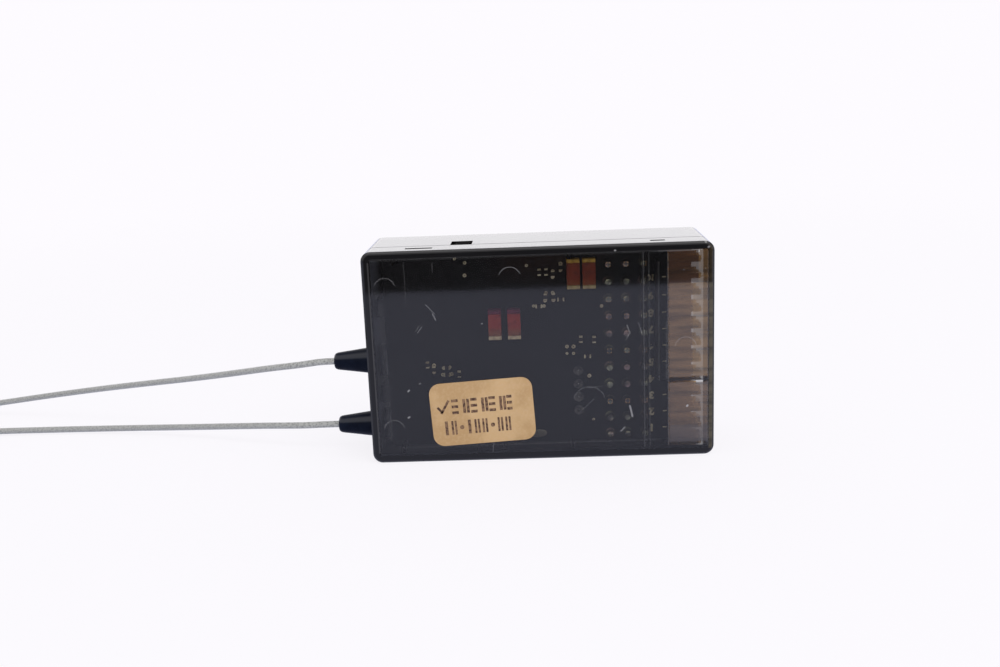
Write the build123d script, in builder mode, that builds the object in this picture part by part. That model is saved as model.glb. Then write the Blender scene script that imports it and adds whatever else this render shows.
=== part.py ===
from build123d import *
import math
import os

# A ten channel radio control receiver with one data port, in millimetres.
# X runs along the case towards the servo sockets, Y away from the viewer, Z up.
# It stands on its long narrow side, and the origin is at the middle of that side.

os.makedirs("parts", exist_ok=True)

# Case
case_length = 49.6
case_height = 31.2
case_depth = 15.1
cover_depth = 4.5
face_wall = 1.1
side_wall = 1.1
mouth_wall = 0.8
corner_r = 1.4
edge_bevel = 0.34
edge_break = 0.1
seam_bevel = 0.12

# Snaps that hold the cover on the housing: distance from the left or right end, and width of each slot
top_left_snap = (8.1, 3.9)
top_right_snap = (7.7, 2.1)
low_left_snap = (17.3, 3.9)
low_right_snap = (6.7, 3.9)
snap_slot = 0.9
snap_depth = 2.25
tongue_thick = 0.5
snap_clear = 0.05
barb_height = 0.35
barb_flat = 0.15
tongue_side_clear = 0.15

# Servo sockets and their pins
pitch = 2.54
lower_rows = 4
levels = 3
pin = 0.64
socket_clear = 0.03
column_inset = 3.46
pin_recess = 0.9
pin_stub = 1.0
plug_clear = 0.1
guide_depth = 5.8
key_width = 1.7
key_reach = 1.3
block_length = 2.54
block_overhang = 0.15
pin_fit = 0.03
pin_bend = 0.3

# Circuit board
board_thick = 1.2
board_front_depth = 4.2
board_clear = 0.2
board_left_gap = 1.25
board_right_gap = 6.1
board_corner = 0.8
hole_d = 1.0
hole_sides = 6
joint_d = 1.6
joint_sides = 6
joint_height = 0.7
joint_slope = 0.55
joint_step = 0.18
pad_pitch = 2.0
pad_hole = 0.8
pad_gap = 4.56
pad_z = 9.0
pads = 4

# Large capacitors on the solder side: distance from the nearest column of pins and from the top of the board
capacitor_length = 4.4
capacitor_width = 1.85
capacitor_height = 1.5
capacitor_end = 0.6
capacitor_edge = 0.12
upper_capacitors = [(5.01, 3.25), (2.76, 3.25)]
lower_capacitors = [(16.51, 10.35), (13.71, 10.35)]

# Chip resistors and capacitors
chip_length = 1.0
chip_width = 0.5
chip_height = 0.4
chip_end = 0.22
# Chips near the sockets: distance from the nearest column of pins, from the top of the board, and turn
high_chips = [
    (9.86, 3.0, 90), (8.86, 3.0, 90), (7.91, 3.3, 90), (6.76, 2.4, 90),
    (9.06, 6.65, 90), (7.91, 6.65, 90), (6.86, 7.1, 0), (10.06, 8.0, 0),
]
# Chips near the service pads: distance from the same column, height above the base, and turn
pad_chips = [(4.1, 16.8, 90), (2.16, 16.7, 90), (3.16, 14.2, 0)]
# Chips near the antennas: distance from the left edge of the board, height above the base, and turn
antenna_chips = [(5.95, 13.65, 90), (6.85, 12.9, 90), (8.75, 13.1, 0), (8.75, 12.05, 0), (10.55, 12.1, 90)]
# Chips round the microcontroller: distance from its middle to the left or right, height and turn
rear_chips = [
    (-4.2, 9.8, 90), (-2.6, 9.8, 90), (-1.0, 9.8, 90), (0.6, 9.8, 90), (2.2, 9.8, 90), (3.8, 9.8, 90),
    (-4.2, 8.0, 90), (-2.6, 8.0, 90), (-1.0, 8.0, 90), (0.6, 8.0, 90), (2.2, 8.0, 90), (3.8, 8.0, 90),
    (-2.6, 6.2, 90), (-1.0, 6.2, 90), (4.2, 21.2, 90), (4.2, 22.9, 90),
]

# Chips on the component side
package_edge = 0.2
dot_inset = 1.1
dot_r = 0.4
dot_sides = 8
dot_depth = 0.1
controller_size = 7.0
controller_height = 1.0
controller_standoff = 0.1
controller_gap = 1.0
controller_z = 15.6
legs_a_side = 8
leg_pitch = 0.8
leg_width = 0.35
leg_thick = 0.15
leg_reach = 1.0
leg_shoulder = 0.3
leg_knee = 0.55
leg_slant = 0.1
can_length = 8.6
can_width = 15.6
can_height = 2.0
can_wall = 0.2
can_corner = 0.5
can_edge = 0.2
vent_pitch = 5.0
vent_d = 1.2
vent_sides = 8
vent_rows = 3
can_gap = 0.35
can_z = 12.0
radio_chip_size = 4.0
radio_chip_height = 0.85
radio_chip_z = 14.6
amplifier_size = 3.0
amplifier_height = 0.75
amplifier_z = 8.6
crystal_length = 3.2
crystal_width = 2.5
crystal_height = 1.2
crystal_corner = 0.4
crystal_step = 0.25
crystal_z = 22.2
regulator_length = 4.5
regulator_width = 2.5
regulator_height = 1.5
regulator_gap = 0.5
regulator_z = 22.35
regulator_pitch = 1.5
regulator_leg = 0.45
regulator_leg_length = 0.9
regulator_leg_thick = 0.4
regulator_tab = 1.7
regulator_tab_length = 0.7
led_length = 1.6
led_width = 0.8
led_height = 0.7
lens_length = 0.96
lens_taper = 15
led_place = 6.85
led_z = 22.5

# Bind switch, pressed through a slot in the narrow side
switch_place = 14.0
switch_width = 4.7
switch_height = 1.65
switch_length = 3.5
switch_edge_gap = 0.1
switch_wall = 0.3
plunger_width = 2.4
plunger_height = 0.9
plunger_length = 2.4
plunger_reach = 0.9
plunger_travel = 0.3
plunger_clear = 0.06
plunger_collar = 0.35
plunger_collar_reach = 0.35
plunger_edge = 0.12
bind_slot_width = 3.1
bind_slot_depth = 3.55

# Antennas
coax_d = 1.0
coax_sides = 6
antenna_y = 0.0
upper_antenna_z = 13.75
lower_antenna_z = 3.85
boot_length = 6.0
boot_base_d = 4.05
boot_tip_d = 2.6
boot_tip_bevel = 0.5
boot_neck_d = 3.3
boot_flange_d = 4.9
boot_flange = 0.9
boot_clear = 0.05
bore_clear = 0.04
lead_bend = 1.6
lead_run = 0.3
lead_lie = 0.8
clip_gap = 2.6
clip_length = 1.6
clip_width = 1.9
clip_wall = 0.2
clip_edge = 0.3
tip_d = 0.5
tip_sides = 6
coil_r = 5.5
coil_stub = 4.0
coil_sides = 24
tie_thick = 0.25
tie_clear = 0.05
tie_room = 0.15
tie_width = 1.6
tie_tail = 2.2
tie_corner = 0.3
tip_clear = 0.03
tip_arc = 281
tip_runs = 16

# Inspection sticker
sticker_length = 14.9
sticker_width = 9.05
sticker_thick = 0.1
sticker_corner = 1.6
sticker_place = 16.3
sticker_z = 7.45
sticker_turn = 3.2

# Places worked out from the sizes above
front_y = -case_depth / 2
back_y = case_depth / 2
seam_y = front_y + cover_depth
cover_inner_y = front_y + face_wall
back_inner_y = back_y - face_wall
left_x = -case_length / 2
right_x = case_length / 2
mid_z = case_height / 2
top_inner_z = case_height - side_wall
board_front_y = front_y + board_front_depth
board_back_y = board_front_y + board_thick
board_left_x = left_x + side_wall + board_left_gap
board_right_x = right_x - board_right_gap
board_low_z = side_wall + board_clear
board_top_z = top_inner_z - board_clear
first_row_z = side_wall + socket_clear + pitch / 2
rows = int((top_inner_z - side_wall - socket_clear) / pitch)
upper_rows = rows - lower_rows
row_z = [first_row_z + pitch * i for i in range(rows)]
split_z = first_row_z + pitch * (lower_rows - 0.5)
last_column_x = board_right_x - column_inset
column_x = [last_column_x - pitch * i for i in range(levels)]
near_x = column_x[-1]
level_y = [board_back_y + pitch * (i + 0.5) for i in range(levels)]
block_back_y = board_back_y + pitch * levels
block_left_x = board_right_x + block_overhang - block_length
pin_end_x = right_x - pin_recess
mouth_top_z = row_z[-1] + pitch / 2 + plug_clear
mouth_low_z = side_wall
guide_x = right_x - guide_depth
guide_y = block_back_y + plug_clear
bridge_y = board_back_y - plug_clear
slot_y = front_y + snap_depth
antenna_z = [upper_antenna_z, lower_antenna_z]
top_snaps = [(left_x + top_left_snap[0], top_left_snap[1]), (right_x - top_right_snap[0], top_right_snap[1])]
low_snaps = [(left_x + low_left_snap[0], low_left_snap[1]), (right_x - low_right_snap[0], low_right_snap[1])]
clip_x = board_left_x + clip_gap
can_x = clip_x + clip_length + can_gap + can_length / 2
controller_half = controller_size / 2 + leg_reach
controller_x = can_x + can_length / 2 + controller_gap + controller_half
crystal_x = controller_x - controller_half + crystal_length / 2
regulator_x = crystal_x + crystal_length / 2 + regulator_gap + regulator_length / 2
led_x = board_left_x + led_place
switch_x = left_x + switch_place
pad_x = near_x - pad_gap
boot_tip_x = left_x - boot_length


def facing_viewer(y):
    """A plane at y that faces the viewer, with X to the right and Z up."""
    return Plane.XZ.offset(-y)


def facing_right(x):
    """A plane at x that faces the sockets, with Y to the right and Z up."""
    return Plane.YZ.offset(x)


def lying(z):
    """A level plane at height z, with X to the right and Y away."""
    return Plane.XY.offset(z)


# Rear cover: a shallow moulded tray with stiffening ribs, snap slots and boot keepers
rib_thick = 0.65
rib_gap = 0.25
press_rib_thick = 0.4
press_rib_gap = 1.81
press_rib_drop = 1.5
press_gap = 0.05
divider_thick = 0.7
divider_gap = 1.91
crush_thick = 0.5
crush_reach = 1.0
crush_left_gap = 2.1
crush_right_gap = 5.66
keeper_width = boot_neck_d - 2 * boot_clear
press_rib_x = last_column_x + press_rib_gap
press_rib_top_z = board_top_z - press_rib_drop
divider_left_x = last_column_x + divider_gap
crush_x = [board_left_x + crush_left_gap, near_x - crush_right_gap]

with BuildPart() as rear_cover:
    with BuildSketch(facing_viewer(seam_y)):
        with Locations((0, mid_z)):
            RectangleRounded(case_length, case_height, corner_r)
    extrude(amount=cover_depth)
    chamfer(rear_cover.faces().sort_by(Axis.Y)[0].edges(), edge_bevel)
    chamfer(rear_cover.faces().sort_by(Axis.Y)[0].edges(), edge_break)
    chamfer(rear_cover.faces().sort_by(Axis.Y)[-1].edges(), seam_bevel)
    with BuildSketch(facing_viewer(seam_y)):
        with Locations(((side_wall - mouth_wall) / 2, mid_z)):
            Rectangle(case_length - side_wall - mouth_wall, case_height - 2 * side_wall)
    extrude(amount=cover_depth - face_wall, mode=Mode.SUBTRACT)
    # Long rib in front of the last column of pins, kept clear of their tips
    with BuildSketch(facing_viewer(cover_inner_y)):
        with Locations((last_column_x, mid_z)):
            Rectangle(rib_thick, case_height - 2 * side_wall)
    extrude(amount=-(board_front_y - pin_stub - rib_gap - cover_inner_y))
    # Thin rib that presses the board down on its ledges
    with BuildSketch(facing_viewer(cover_inner_y)):
        with Locations((press_rib_x, (press_rib_top_z + split_z) / 2)):
            Rectangle(press_rib_thick, press_rib_top_z - split_z)
    extrude(amount=-(board_front_y - press_gap - cover_inner_y))
    # Divider between the two banks of sockets
    with BuildSketch(facing_viewer(cover_inner_y)):
        with Locations(((divider_left_x + right_x - mouth_wall / 2) / 2, split_z)):
            Rectangle(right_x - mouth_wall / 2 - divider_left_x, divider_thick)
    extrude(amount=-(board_front_y - press_gap - cover_inner_y))
    # Short ribs that locate the edges of the board
    crush_z = [side_wall + crush_reach / 2, top_inner_z - crush_reach / 2]
    with BuildSketch(facing_viewer(cover_inner_y)):
        with Locations([(x, z) for x in crush_x for z in crush_z]):
            Rectangle(crush_thick, crush_reach)
    extrude(amount=-(board_front_y - press_gap - cover_inner_y))
    # Pockets for the tongues of the housing, and the slots that their barbs snap into
    for places, wall_z, up in ((top_snaps, top_inner_z, 1), (low_snaps, side_wall, -1)):
        for x, width in places:
            with BuildSketch(lying(wall_z)):
                with Locations((x, slot_y)):
                    Rectangle(width, snap_slot)
            extrude(amount=up * side_wall, mode=Mode.SUBTRACT)
            with BuildSketch(lying(wall_z)):
                with Locations((x, seam_y)):
                    Rectangle(width, seam_y - slot_y + snap_slot / 2, align=(Align.CENTER, Align.MAX))
            extrude(amount=up * (tongue_thick + snap_clear), mode=Mode.SUBTRACT)
    # Keepers that close the boot slots of the housing behind the antenna necks
    with BuildSketch(facing_viewer(antenna_y - boot_clear)):
        with Locations([(left_x + side_wall / 2, z) for z in antenna_z]):
            Rectangle(side_wall - 2 * boot_clear, keeper_width)
    extrude(amount=antenna_y - boot_clear - seam_y + seam_bevel)
    with BuildSketch(facing_right(left_x)):
        with Locations([(antenna_y, z) for z in antenna_z]):
            Circle(boot_neck_d / 2 + boot_clear)
    extrude(amount=side_wall, mode=Mode.SUBTRACT)
rear_cover.part.label = "rear_cover"
export_step(rear_cover.part, "parts/rear_cover.step")

# Main housing: a deep moulded shell with the socket mouth, boot slots and board ledges
recess_depth = 0.2
recess_margin = 3.2
recess_corner = 1.2
ledge_thick = 1.0
ledge_length = 2.6
ledge_spread = 6.5
ledge_left_z = [mid_z + ledge_spread, mid_z - ledge_spread]
ledge_place = 18.05
ledge_gap = 4.66
ledge_mid_x = [left_x + ledge_place, near_x - ledge_gap]
bar_place = 12.8
bar_pitch = 10.0
bars = 3
bar_x = [left_x + bar_place + bar_pitch * i for i in range(bars)]
bar_thick = 0.7
bar_height = 0.8
pad_length = 1.2

with BuildPart() as main_housing:
    with BuildSketch(facing_viewer(back_y)):
        with Locations((0, mid_z)):
            RectangleRounded(case_length, case_height, corner_r)
    extrude(amount=case_depth - cover_depth)
    chamfer(main_housing.faces().sort_by(Axis.Y)[-1].edges(), edge_bevel)
    chamfer(main_housing.faces().sort_by(Axis.Y)[-1].edges(), edge_break)
    chamfer(main_housing.faces().sort_by(Axis.Y)[0].edges(), seam_bevel)
    with BuildSketch(facing_viewer(back_inner_y)):
        with Locations(((side_wall - mouth_wall) / 2, mid_z)):
            Rectangle(case_length - side_wall - mouth_wall, case_height - 2 * side_wall)
    extrude(amount=back_inner_y - seam_y, mode=Mode.SUBTRACT)
    # Shallow recess in the broad face
    with BuildSketch(facing_viewer(back_y)):
        with Locations((0, mid_z)):
            RectangleRounded(case_length - 2 * recess_margin, case_height - 2 * recess_margin, recess_corner)
    extrude(amount=recess_depth, mode=Mode.SUBTRACT)
    # Wall that the plugs slide along, with a keyway for each one
    with BuildSketch(facing_viewer(back_inner_y)):
        with Locations(((guide_x + right_x) / 2, mid_z)):
            Rectangle(guide_depth, case_height - 2 * side_wall)
    extrude(amount=back_inner_y - guide_y)
    with BuildSketch(facing_viewer(back_inner_y)):
        with Locations([((guide_x + right_x) / 2, z) for z in row_z]):
            Rectangle(guide_depth, key_width)
    extrude(amount=back_inner_y - guide_y, mode=Mode.SUBTRACT)
    with BuildSketch(facing_viewer(back_y)):
        with Locations([(right_x - key_reach / 2, z) for z in row_z]):
            Rectangle(key_reach, key_width)
    extrude(amount=face_wall, mode=Mode.SUBTRACT)
    # Mouth that the servo plugs enter
    with BuildSketch(facing_right(right_x - mouth_wall)):
        with Locations(((bridge_y + guide_y) / 2, (mouth_low_z + mouth_top_z) / 2)):
            Rectangle(guide_y - bridge_y, mouth_top_z - mouth_low_z)
    extrude(amount=mouth_wall, mode=Mode.SUBTRACT)
    # Slots that the antenna boots drop into from the seam
    with BuildSketch(facing_right(left_x)):
        with Locations([(antenna_y, z) for z in antenna_z]):
            Circle(boot_neck_d / 2 + boot_clear)
        with Locations([((antenna_y + seam_y) / 2, z) for z in antenna_z]):
            Rectangle(antenna_y - seam_y, boot_neck_d + 2 * boot_clear)
    extrude(amount=side_wall, mode=Mode.SUBTRACT)
    # Ledges along the left end and columns in the middle that carry the board
    ledge_x = left_x + side_wall + (board_left_gap + ledge_thick) / 2
    with BuildSketch(facing_viewer(back_inner_y)):
        with Locations([(ledge_x, z) for z in ledge_left_z]):
            Rectangle(board_left_gap + ledge_thick, ledge_length)
        low_z = (side_wall + board_low_z + ledge_thick) / 2
        top_z = (top_inner_z + board_top_z - ledge_thick) / 2
        with Locations([(x, z) for x in ledge_mid_x for z in (low_z, top_z)]):
            Rectangle(ledge_length, ledge_thick + board_clear)
    extrude(amount=back_inner_y - board_back_y)
    # Low bars across the broad wall
    with BuildSketch(facing_viewer(back_inner_y)):
        with Locations([(x, mid_z) for x in bar_x]):
            Rectangle(bar_thick, case_height - 2 * side_wall)
        with Locations((block_left_x + block_length / 2, mid_z)):
            Rectangle(pad_length, case_height - 2 * side_wall)
    extrude(amount=min(bar_height, back_inner_y - block_back_y))
    # Slot over the bind switch
    with BuildSketch(lying(top_inner_z)):
        with Locations((switch_x, seam_y + bind_slot_depth / 2)):
            Rectangle(bind_slot_width, bind_slot_depth)
    extrude(amount=side_wall, mode=Mode.SUBTRACT)
    # Tongues that rise from the rim into the cover, each with a barb
    tongue_tip_y = slot_y - snap_slot / 2 + snap_clear
    barb_back_y = slot_y + snap_slot / 2 - snap_clear
    for places, wall_z, up in ((top_snaps, top_inner_z, 1), (low_snaps, side_wall, -1)):
        for x, width in places:
            tongue_width = width - 2 * tongue_side_clear
            tongue_z = wall_z + up * tongue_thick
            with BuildSketch(facing_right(x - tongue_width / 2)):
                with BuildLine():
                    Polyline(
                        (seam_y + seam_bevel, wall_z),
                        (seam_y + seam_bevel, tongue_z),
                        (barb_back_y, tongue_z),
                        (barb_back_y, tongue_z + up * barb_height),
                        (barb_back_y - barb_flat, tongue_z + up * barb_height),
                        (tongue_tip_y, tongue_z - up * barb_flat),
                        (tongue_tip_y, wall_z),
                        close=True,
                    )
                make_face()
            extrude(amount=tongue_width)
main_housing.part.label = "main_housing"
export_step(main_housing.part, "parts/main_housing.step")

# Circuit board: drilled for the pins and the service pads
board_mid_x = (board_left_x + board_right_x) / 2
board_mid_z = (board_low_z + board_top_z) / 2
column_mid_x = column_x[levels // 2]
row_mid_z = (row_z[0] + row_z[-1]) / 2

with BuildPart() as main_board:
    with BuildSketch(facing_viewer(board_back_y)):
        with Locations((board_mid_x, board_mid_z)):
            RectangleRounded(board_right_x - board_left_x, board_top_z - board_low_z, board_corner)
        with Locations((column_mid_x, row_mid_z)):
            with GridLocations(pitch, pitch, levels, rows):
                RegularPolygon(hole_d / 2, hole_sides, mode=Mode.SUBTRACT)
        with Locations((pad_x, pad_z)):
            with GridLocations(pad_pitch, pad_pitch, 1, pads):
                RegularPolygon(pad_hole / 2, hole_sides, mode=Mode.SUBTRACT)
    extrude(amount=board_thick)
main_board.part.label = "main_board"
export_step(main_board.part, "parts/main_board.step")

# Right angle header pins: one level for signal, one for power and one for ground
pin_names = ["signal_pins", "power_pins", "ground_pins"]
pin_tip_y = board_front_y - pin_stub
pin_point = 0.2
for name, x, y in zip(pin_names, column_x, level_y):
    with BuildPart() as pins:
        for z in row_z:
            with BuildSketch(lying(z - pin / 2)) as bent:
                with BuildLine():
                    Polyline(
                        (pin_end_x, y - pin / 2 + pin_point),
                        (pin_end_x, y + pin / 2 - pin_point),
                        (pin_end_x - 2 * pin_point, y + pin / 2),
                        (x - pin / 2, y + pin / 2),
                        (x - pin / 2, pin_tip_y),
                        (x + pin / 2, pin_tip_y),
                        (x + pin / 2, y - pin / 2),
                        (pin_end_x - 2 * pin_point, y - pin / 2),
                        close=True,
                    )
                make_face()
                outer_bend = bent.vertices().group_by(Axis.Y)[-1].sort_by(Axis.X)[0]
                chamfer(outer_bend, pin_bend)
            extrude(amount=pin)
    pins.part.label = name
    export_step(pins.part, f"parts/{name}.step")

# Header blocks: the moulded plastic that holds the pins, one block for each bank
block_groove = 0.25
banks = [("lower_header_block", row_z[:lower_rows]), ("upper_header_block", row_z[lower_rows:])]
for name, bank_z in banks:
    low_z = bank_z[0] - pitch / 2 + socket_clear / 2
    top_z = bank_z[-1] + pitch / 2 - socket_clear / 2
    with BuildPart() as block:
        with BuildSketch(facing_viewer(block_back_y)):
            with Locations((block_left_x + block_length / 2, (low_z + top_z) / 2)):
                Rectangle(block_length, top_z - low_z)
            # Grooves between the channels, as left by the moulded break lines
            groove_x = [block_left_x, block_left_x + block_length]
            groove_z = [z + pitch / 2 for z in bank_z[:-1]]
            with Locations([(x, z) for x in groove_x for z in groove_z]):
                Rectangle(2 * block_groove, 2 * block_groove, rotation=45, mode=Mode.SUBTRACT)
        extrude(amount=block_back_y - board_back_y)
        with BuildSketch(facing_right(block_left_x)):
            with Locations([(y, z) for y in level_y for z in bank_z]):
                Rectangle(pin + 2 * pin_fit, pin + 2 * pin_fit)
        extrude(amount=block_length, mode=Mode.SUBTRACT)
    block.part.label = name
    export_step(block.part, f"parts/{name}.step")

# Solder joints: a small cone of solder round each pin on the side that faces the cover
with BuildPart() as solder_joint:
    with BuildSketch(facing_viewer(board_front_y)):
        RegularPolygon(joint_d / 2, joint_sides)
    extrude(amount=joint_height)
    joint_top = solder_joint.faces().sort_by(Axis.Y)[0]
    chamfer(joint_top.edges(), joint_step, joint_slope, reference=joint_top)
    with BuildSketch(facing_viewer(board_front_y)):
        Rectangle(pin + 2 * pin_fit, pin + 2 * pin_fit)
    extrude(amount=joint_height, mode=Mode.SUBTRACT)
with BuildPart() as pin_solder_joints:
    with Locations([(x, 0, z) for x in column_x for z in row_z]):
        add(solder_joint.part)
pin_solder_joints.part.label = "pin_solder_joints"
export_step(pin_solder_joints.part, "parts/pin_solder_joints.step")

# Large capacitors: a ceramic body between two plated ends, in two pairs
capacitor_pairs = [("upper", upper_capacitors), ("lower", lower_capacitors)]
for name, places in capacitor_pairs:
    middles = [(near_x - gap, board_top_z - drop) for gap, drop in places]
    with BuildPart() as capacitor_bodies:
        with BuildSketch(facing_viewer(board_front_y)):
            with Locations(middles):
                Rectangle(capacitor_width, capacitor_length - 2 * capacitor_end)
        extrude(amount=capacitor_height)
    capacitor_bodies.part.label = f"{name}_capacitor_bodies"
    export_step(capacitor_bodies.part, f"parts/{name}_capacitor_bodies.step")
    end_shift = (capacitor_length - capacitor_end) / 2
    with BuildPart() as capacitor_ends:
        with BuildSketch(facing_viewer(board_front_y)):
            with Locations([(x, z + s) for x, z in middles for s in (-end_shift, end_shift)]):
                Rectangle(capacitor_width, capacitor_end)
        extrude(amount=capacitor_height)
        chamfer(capacitor_ends.edges().filter_by(Axis.X).group_by(Axis.Y)[0], capacitor_edge)
    capacitor_ends.part.label = f"{name}_capacitor_ends"
    export_step(capacitor_ends.part, f"parts/{name}_capacitor_ends.step")

# Chip resistors and capacitors on both sides of the board
front_chips = [(near_x - gap, board_top_z - drop, turn) for gap, drop, turn in high_chips]
front_chips += [(near_x - gap, z, turn) for gap, z, turn in pad_chips]
front_chips += [(board_left_x + gap, z, turn) for gap, z, turn in antenna_chips]
back_chips = [(controller_x + side, z, turn) for side, z, turn in rear_chips]
chip_sides = [
    ("front_chip", front_chips, facing_viewer(board_front_y), 1),
    ("rear_chip", back_chips, facing_viewer(board_back_y), -1),
]
for name, places, face, way in chip_sides:
    with BuildPart() as chip_bodies:
        with BuildSketch(face):
            for x, z, turn in places:
                with Locations(Location((x, z), turn)):
                    Rectangle(chip_length - 2 * chip_end, chip_width)
        extrude(amount=way * chip_height)
    chip_bodies.part.label = f"{name}_bodies"
    export_step(chip_bodies.part, f"parts/{name}_bodies.step")
    with BuildPart() as chip_ends:
        with BuildSketch(face):
            for x, z, turn in places:
                with Locations(Location((x, z), turn)):
                    with Locations((-(chip_length - chip_end) / 2, 0), ((chip_length - chip_end) / 2, 0)):
                        Rectangle(chip_end, chip_width)
        extrude(amount=way * chip_height)
    chip_ends.part.label = f"{name}_ends"
    export_step(chip_ends.part, f"parts/{name}_ends.step")

# Microcontroller: a square moulded package with bent legs on all four sides
with BuildPart() as microcontroller:
    with BuildSketch(facing_viewer(board_back_y + controller_standoff)):
        with Locations((controller_x, controller_z)):
            Rectangle(controller_size, controller_size)
    extrude(amount=-controller_height)
    chamfer(microcontroller.faces().sort_by(Axis.Y)[-1].edges(), package_edge)
    with BuildSketch(facing_viewer(board_back_y + controller_standoff + controller_height)):
        dot_place = controller_size / 2 - dot_inset
        with Locations((controller_x - dot_place, controller_z + dot_place)):
            RegularPolygon(dot_r, dot_sides)
    extrude(amount=dot_depth, mode=Mode.SUBTRACT)
microcontroller.part.label = "microcontroller"
export_step(microcontroller.part, "parts/microcontroller.step")

leg_root_y = board_back_y + controller_standoff + controller_height / 2
leg_places = [leg_pitch * (i - (legs_a_side - 1) / 2) for i in range(legs_a_side)]
edge = controller_size / 2
leg_outline = [
    (edge, leg_root_y),
    (edge + leg_shoulder, leg_root_y),
    (edge + leg_knee, board_back_y + leg_thick),
    (edge + leg_reach, board_back_y + leg_thick),
    (edge + leg_reach, board_back_y),
    (edge + leg_knee - leg_slant, board_back_y),
    (edge + leg_shoulder - leg_slant, leg_root_y - leg_thick),
    (edge, leg_root_y - leg_thick),
]
with BuildPart() as microcontroller_legs:
    for way in (-1, 1):
        for shift in leg_places:
            with BuildSketch(lying(controller_z + shift - leg_width / 2)):
                with BuildLine():
                    Polyline([(controller_x + way * u, y) for u, y in leg_outline], close=True)
                make_face()
            extrude(amount=leg_width)
            with BuildSketch(facing_right(controller_x + shift - leg_width / 2)):
                with BuildLine():
                    Polyline([(y, controller_z + way * u) for u, y in leg_outline], close=True)
                make_face()
            extrude(amount=leg_width)
microcontroller_legs.part.label = "microcontroller_legs"
export_step(microcontroller_legs.part, "parts/microcontroller_legs.step")

# Radio shield: a folded tin can over the two radio chips, with vent holes
with BuildPart() as radio_shield_can:
    with BuildSketch(facing_viewer(board_back_y)):
        with Locations((can_x, can_z)):
            sheet = Rectangle(can_length, can_width)
            chamfer(sheet.vertices(), can_corner)
    extrude(amount=-can_height)
    chamfer(radio_shield_can.faces().sort_by(Axis.Y)[-1].edges(), can_edge)
    with BuildSketch(facing_viewer(board_back_y)):
        with Locations((can_x, can_z)):
            hollow = Rectangle(can_length - 2 * can_wall, can_width - 2 * can_wall)
            chamfer(hollow.vertices(), can_corner - can_wall)
    extrude(amount=-(can_height - can_wall), mode=Mode.SUBTRACT)
    with BuildSketch(facing_viewer(board_back_y + can_height)):
        with Locations((can_x, can_z)):
            with GridLocations(vent_pitch, vent_pitch, 1, vent_rows):
                RegularPolygon(vent_d / 2, vent_sides)
    extrude(amount=can_wall, mode=Mode.SUBTRACT)
radio_shield_can.part.label = "radio_shield_can"
export_step(radio_shield_can.part, "parts/radio_shield_can.step")

with BuildPart() as radio_chip:
    with BuildSketch(facing_viewer(board_back_y)):
        with Locations((can_x, radio_chip_z)):
            Rectangle(radio_chip_size, radio_chip_size)
    extrude(amount=-radio_chip_height)
radio_chip.part.label = "radio_chip"
export_step(radio_chip.part, "parts/radio_chip.step")

with BuildPart() as antenna_switch_chip:
    with BuildSketch(facing_viewer(board_back_y)):
        with Locations((can_x, amplifier_z)):
            Rectangle(amplifier_size, amplifier_size)
    extrude(amount=-amplifier_height)
antenna_switch_chip.part.label = "antenna_switch_chip"
export_step(antenna_switch_chip.part, "parts/antenna_switch_chip.step")

# Crystal: a metal lid with cut corners on a ceramic base
with BuildPart() as crystal_can:
    with BuildSketch(facing_viewer(board_back_y)):
        with Locations((crystal_x, crystal_z)):
            base = Rectangle(crystal_length, crystal_width)
            chamfer(base.vertices(), crystal_corner)
    extrude(amount=-crystal_height / 2)
    with BuildSketch(facing_viewer(board_back_y + crystal_height / 2)):
        with Locations((crystal_x, crystal_z)):
            lid = Rectangle(crystal_length - 2 * crystal_step, crystal_width - 2 * crystal_step)
            chamfer(lid.vertices(), crystal_corner)
    extrude(amount=-crystal_height / 2)
crystal_can.part.label = "crystal_can"
export_step(crystal_can.part, "parts/crystal_can.step")

# Voltage regulator: a flat package with a cooling tab and three legs
with BuildPart() as voltage_regulator:
    with BuildSketch(facing_viewer(board_back_y)):
        with Locations((regulator_x, regulator_z)):
            Rectangle(regulator_length, regulator_width)
    extrude(amount=-regulator_height)
    chamfer(voltage_regulator.faces().sort_by(Axis.Y)[-1].edges(), package_edge)
voltage_regulator.part.label = "voltage_regulator"
export_step(voltage_regulator.part, "parts/voltage_regulator.step")

regulator_low_z = regulator_z - regulator_width / 2
regulator_top_z = regulator_z + regulator_width / 2
with BuildPart() as regulator_legs:
    with BuildSketch(facing_viewer(board_back_y)):
        with Locations([(regulator_x + regulator_pitch * i, regulator_low_z) for i in (-1, 0, 1)]):
            Rectangle(regulator_leg, regulator_leg_length, align=(Align.CENTER, Align.MAX))
        with Locations((regulator_x, regulator_top_z)):
            Rectangle(regulator_tab, regulator_tab_length, align=(Align.CENTER, Align.MIN))
    extrude(amount=-regulator_leg_thick)
regulator_legs.part.label = "regulator_legs"
export_step(regulator_legs.part, "parts/regulator_legs.step")

# Status light: a chip lamp with a tapered lens
with BuildPart() as status_light:
    with BuildSketch(facing_viewer(board_back_y)):
        with Locations((led_x, led_z)):
            Rectangle(led_length, led_width)
    extrude(amount=-led_height / 2)
    with BuildSketch(facing_viewer(board_back_y + led_height / 2)):
        with Locations((led_x, led_z)):
            Rectangle(lens_length, led_width)
    extrude(amount=-led_height / 2, taper=lens_taper)
status_light.part.label = "status_light"
export_step(status_light.part, "parts/status_light.step")

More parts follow.
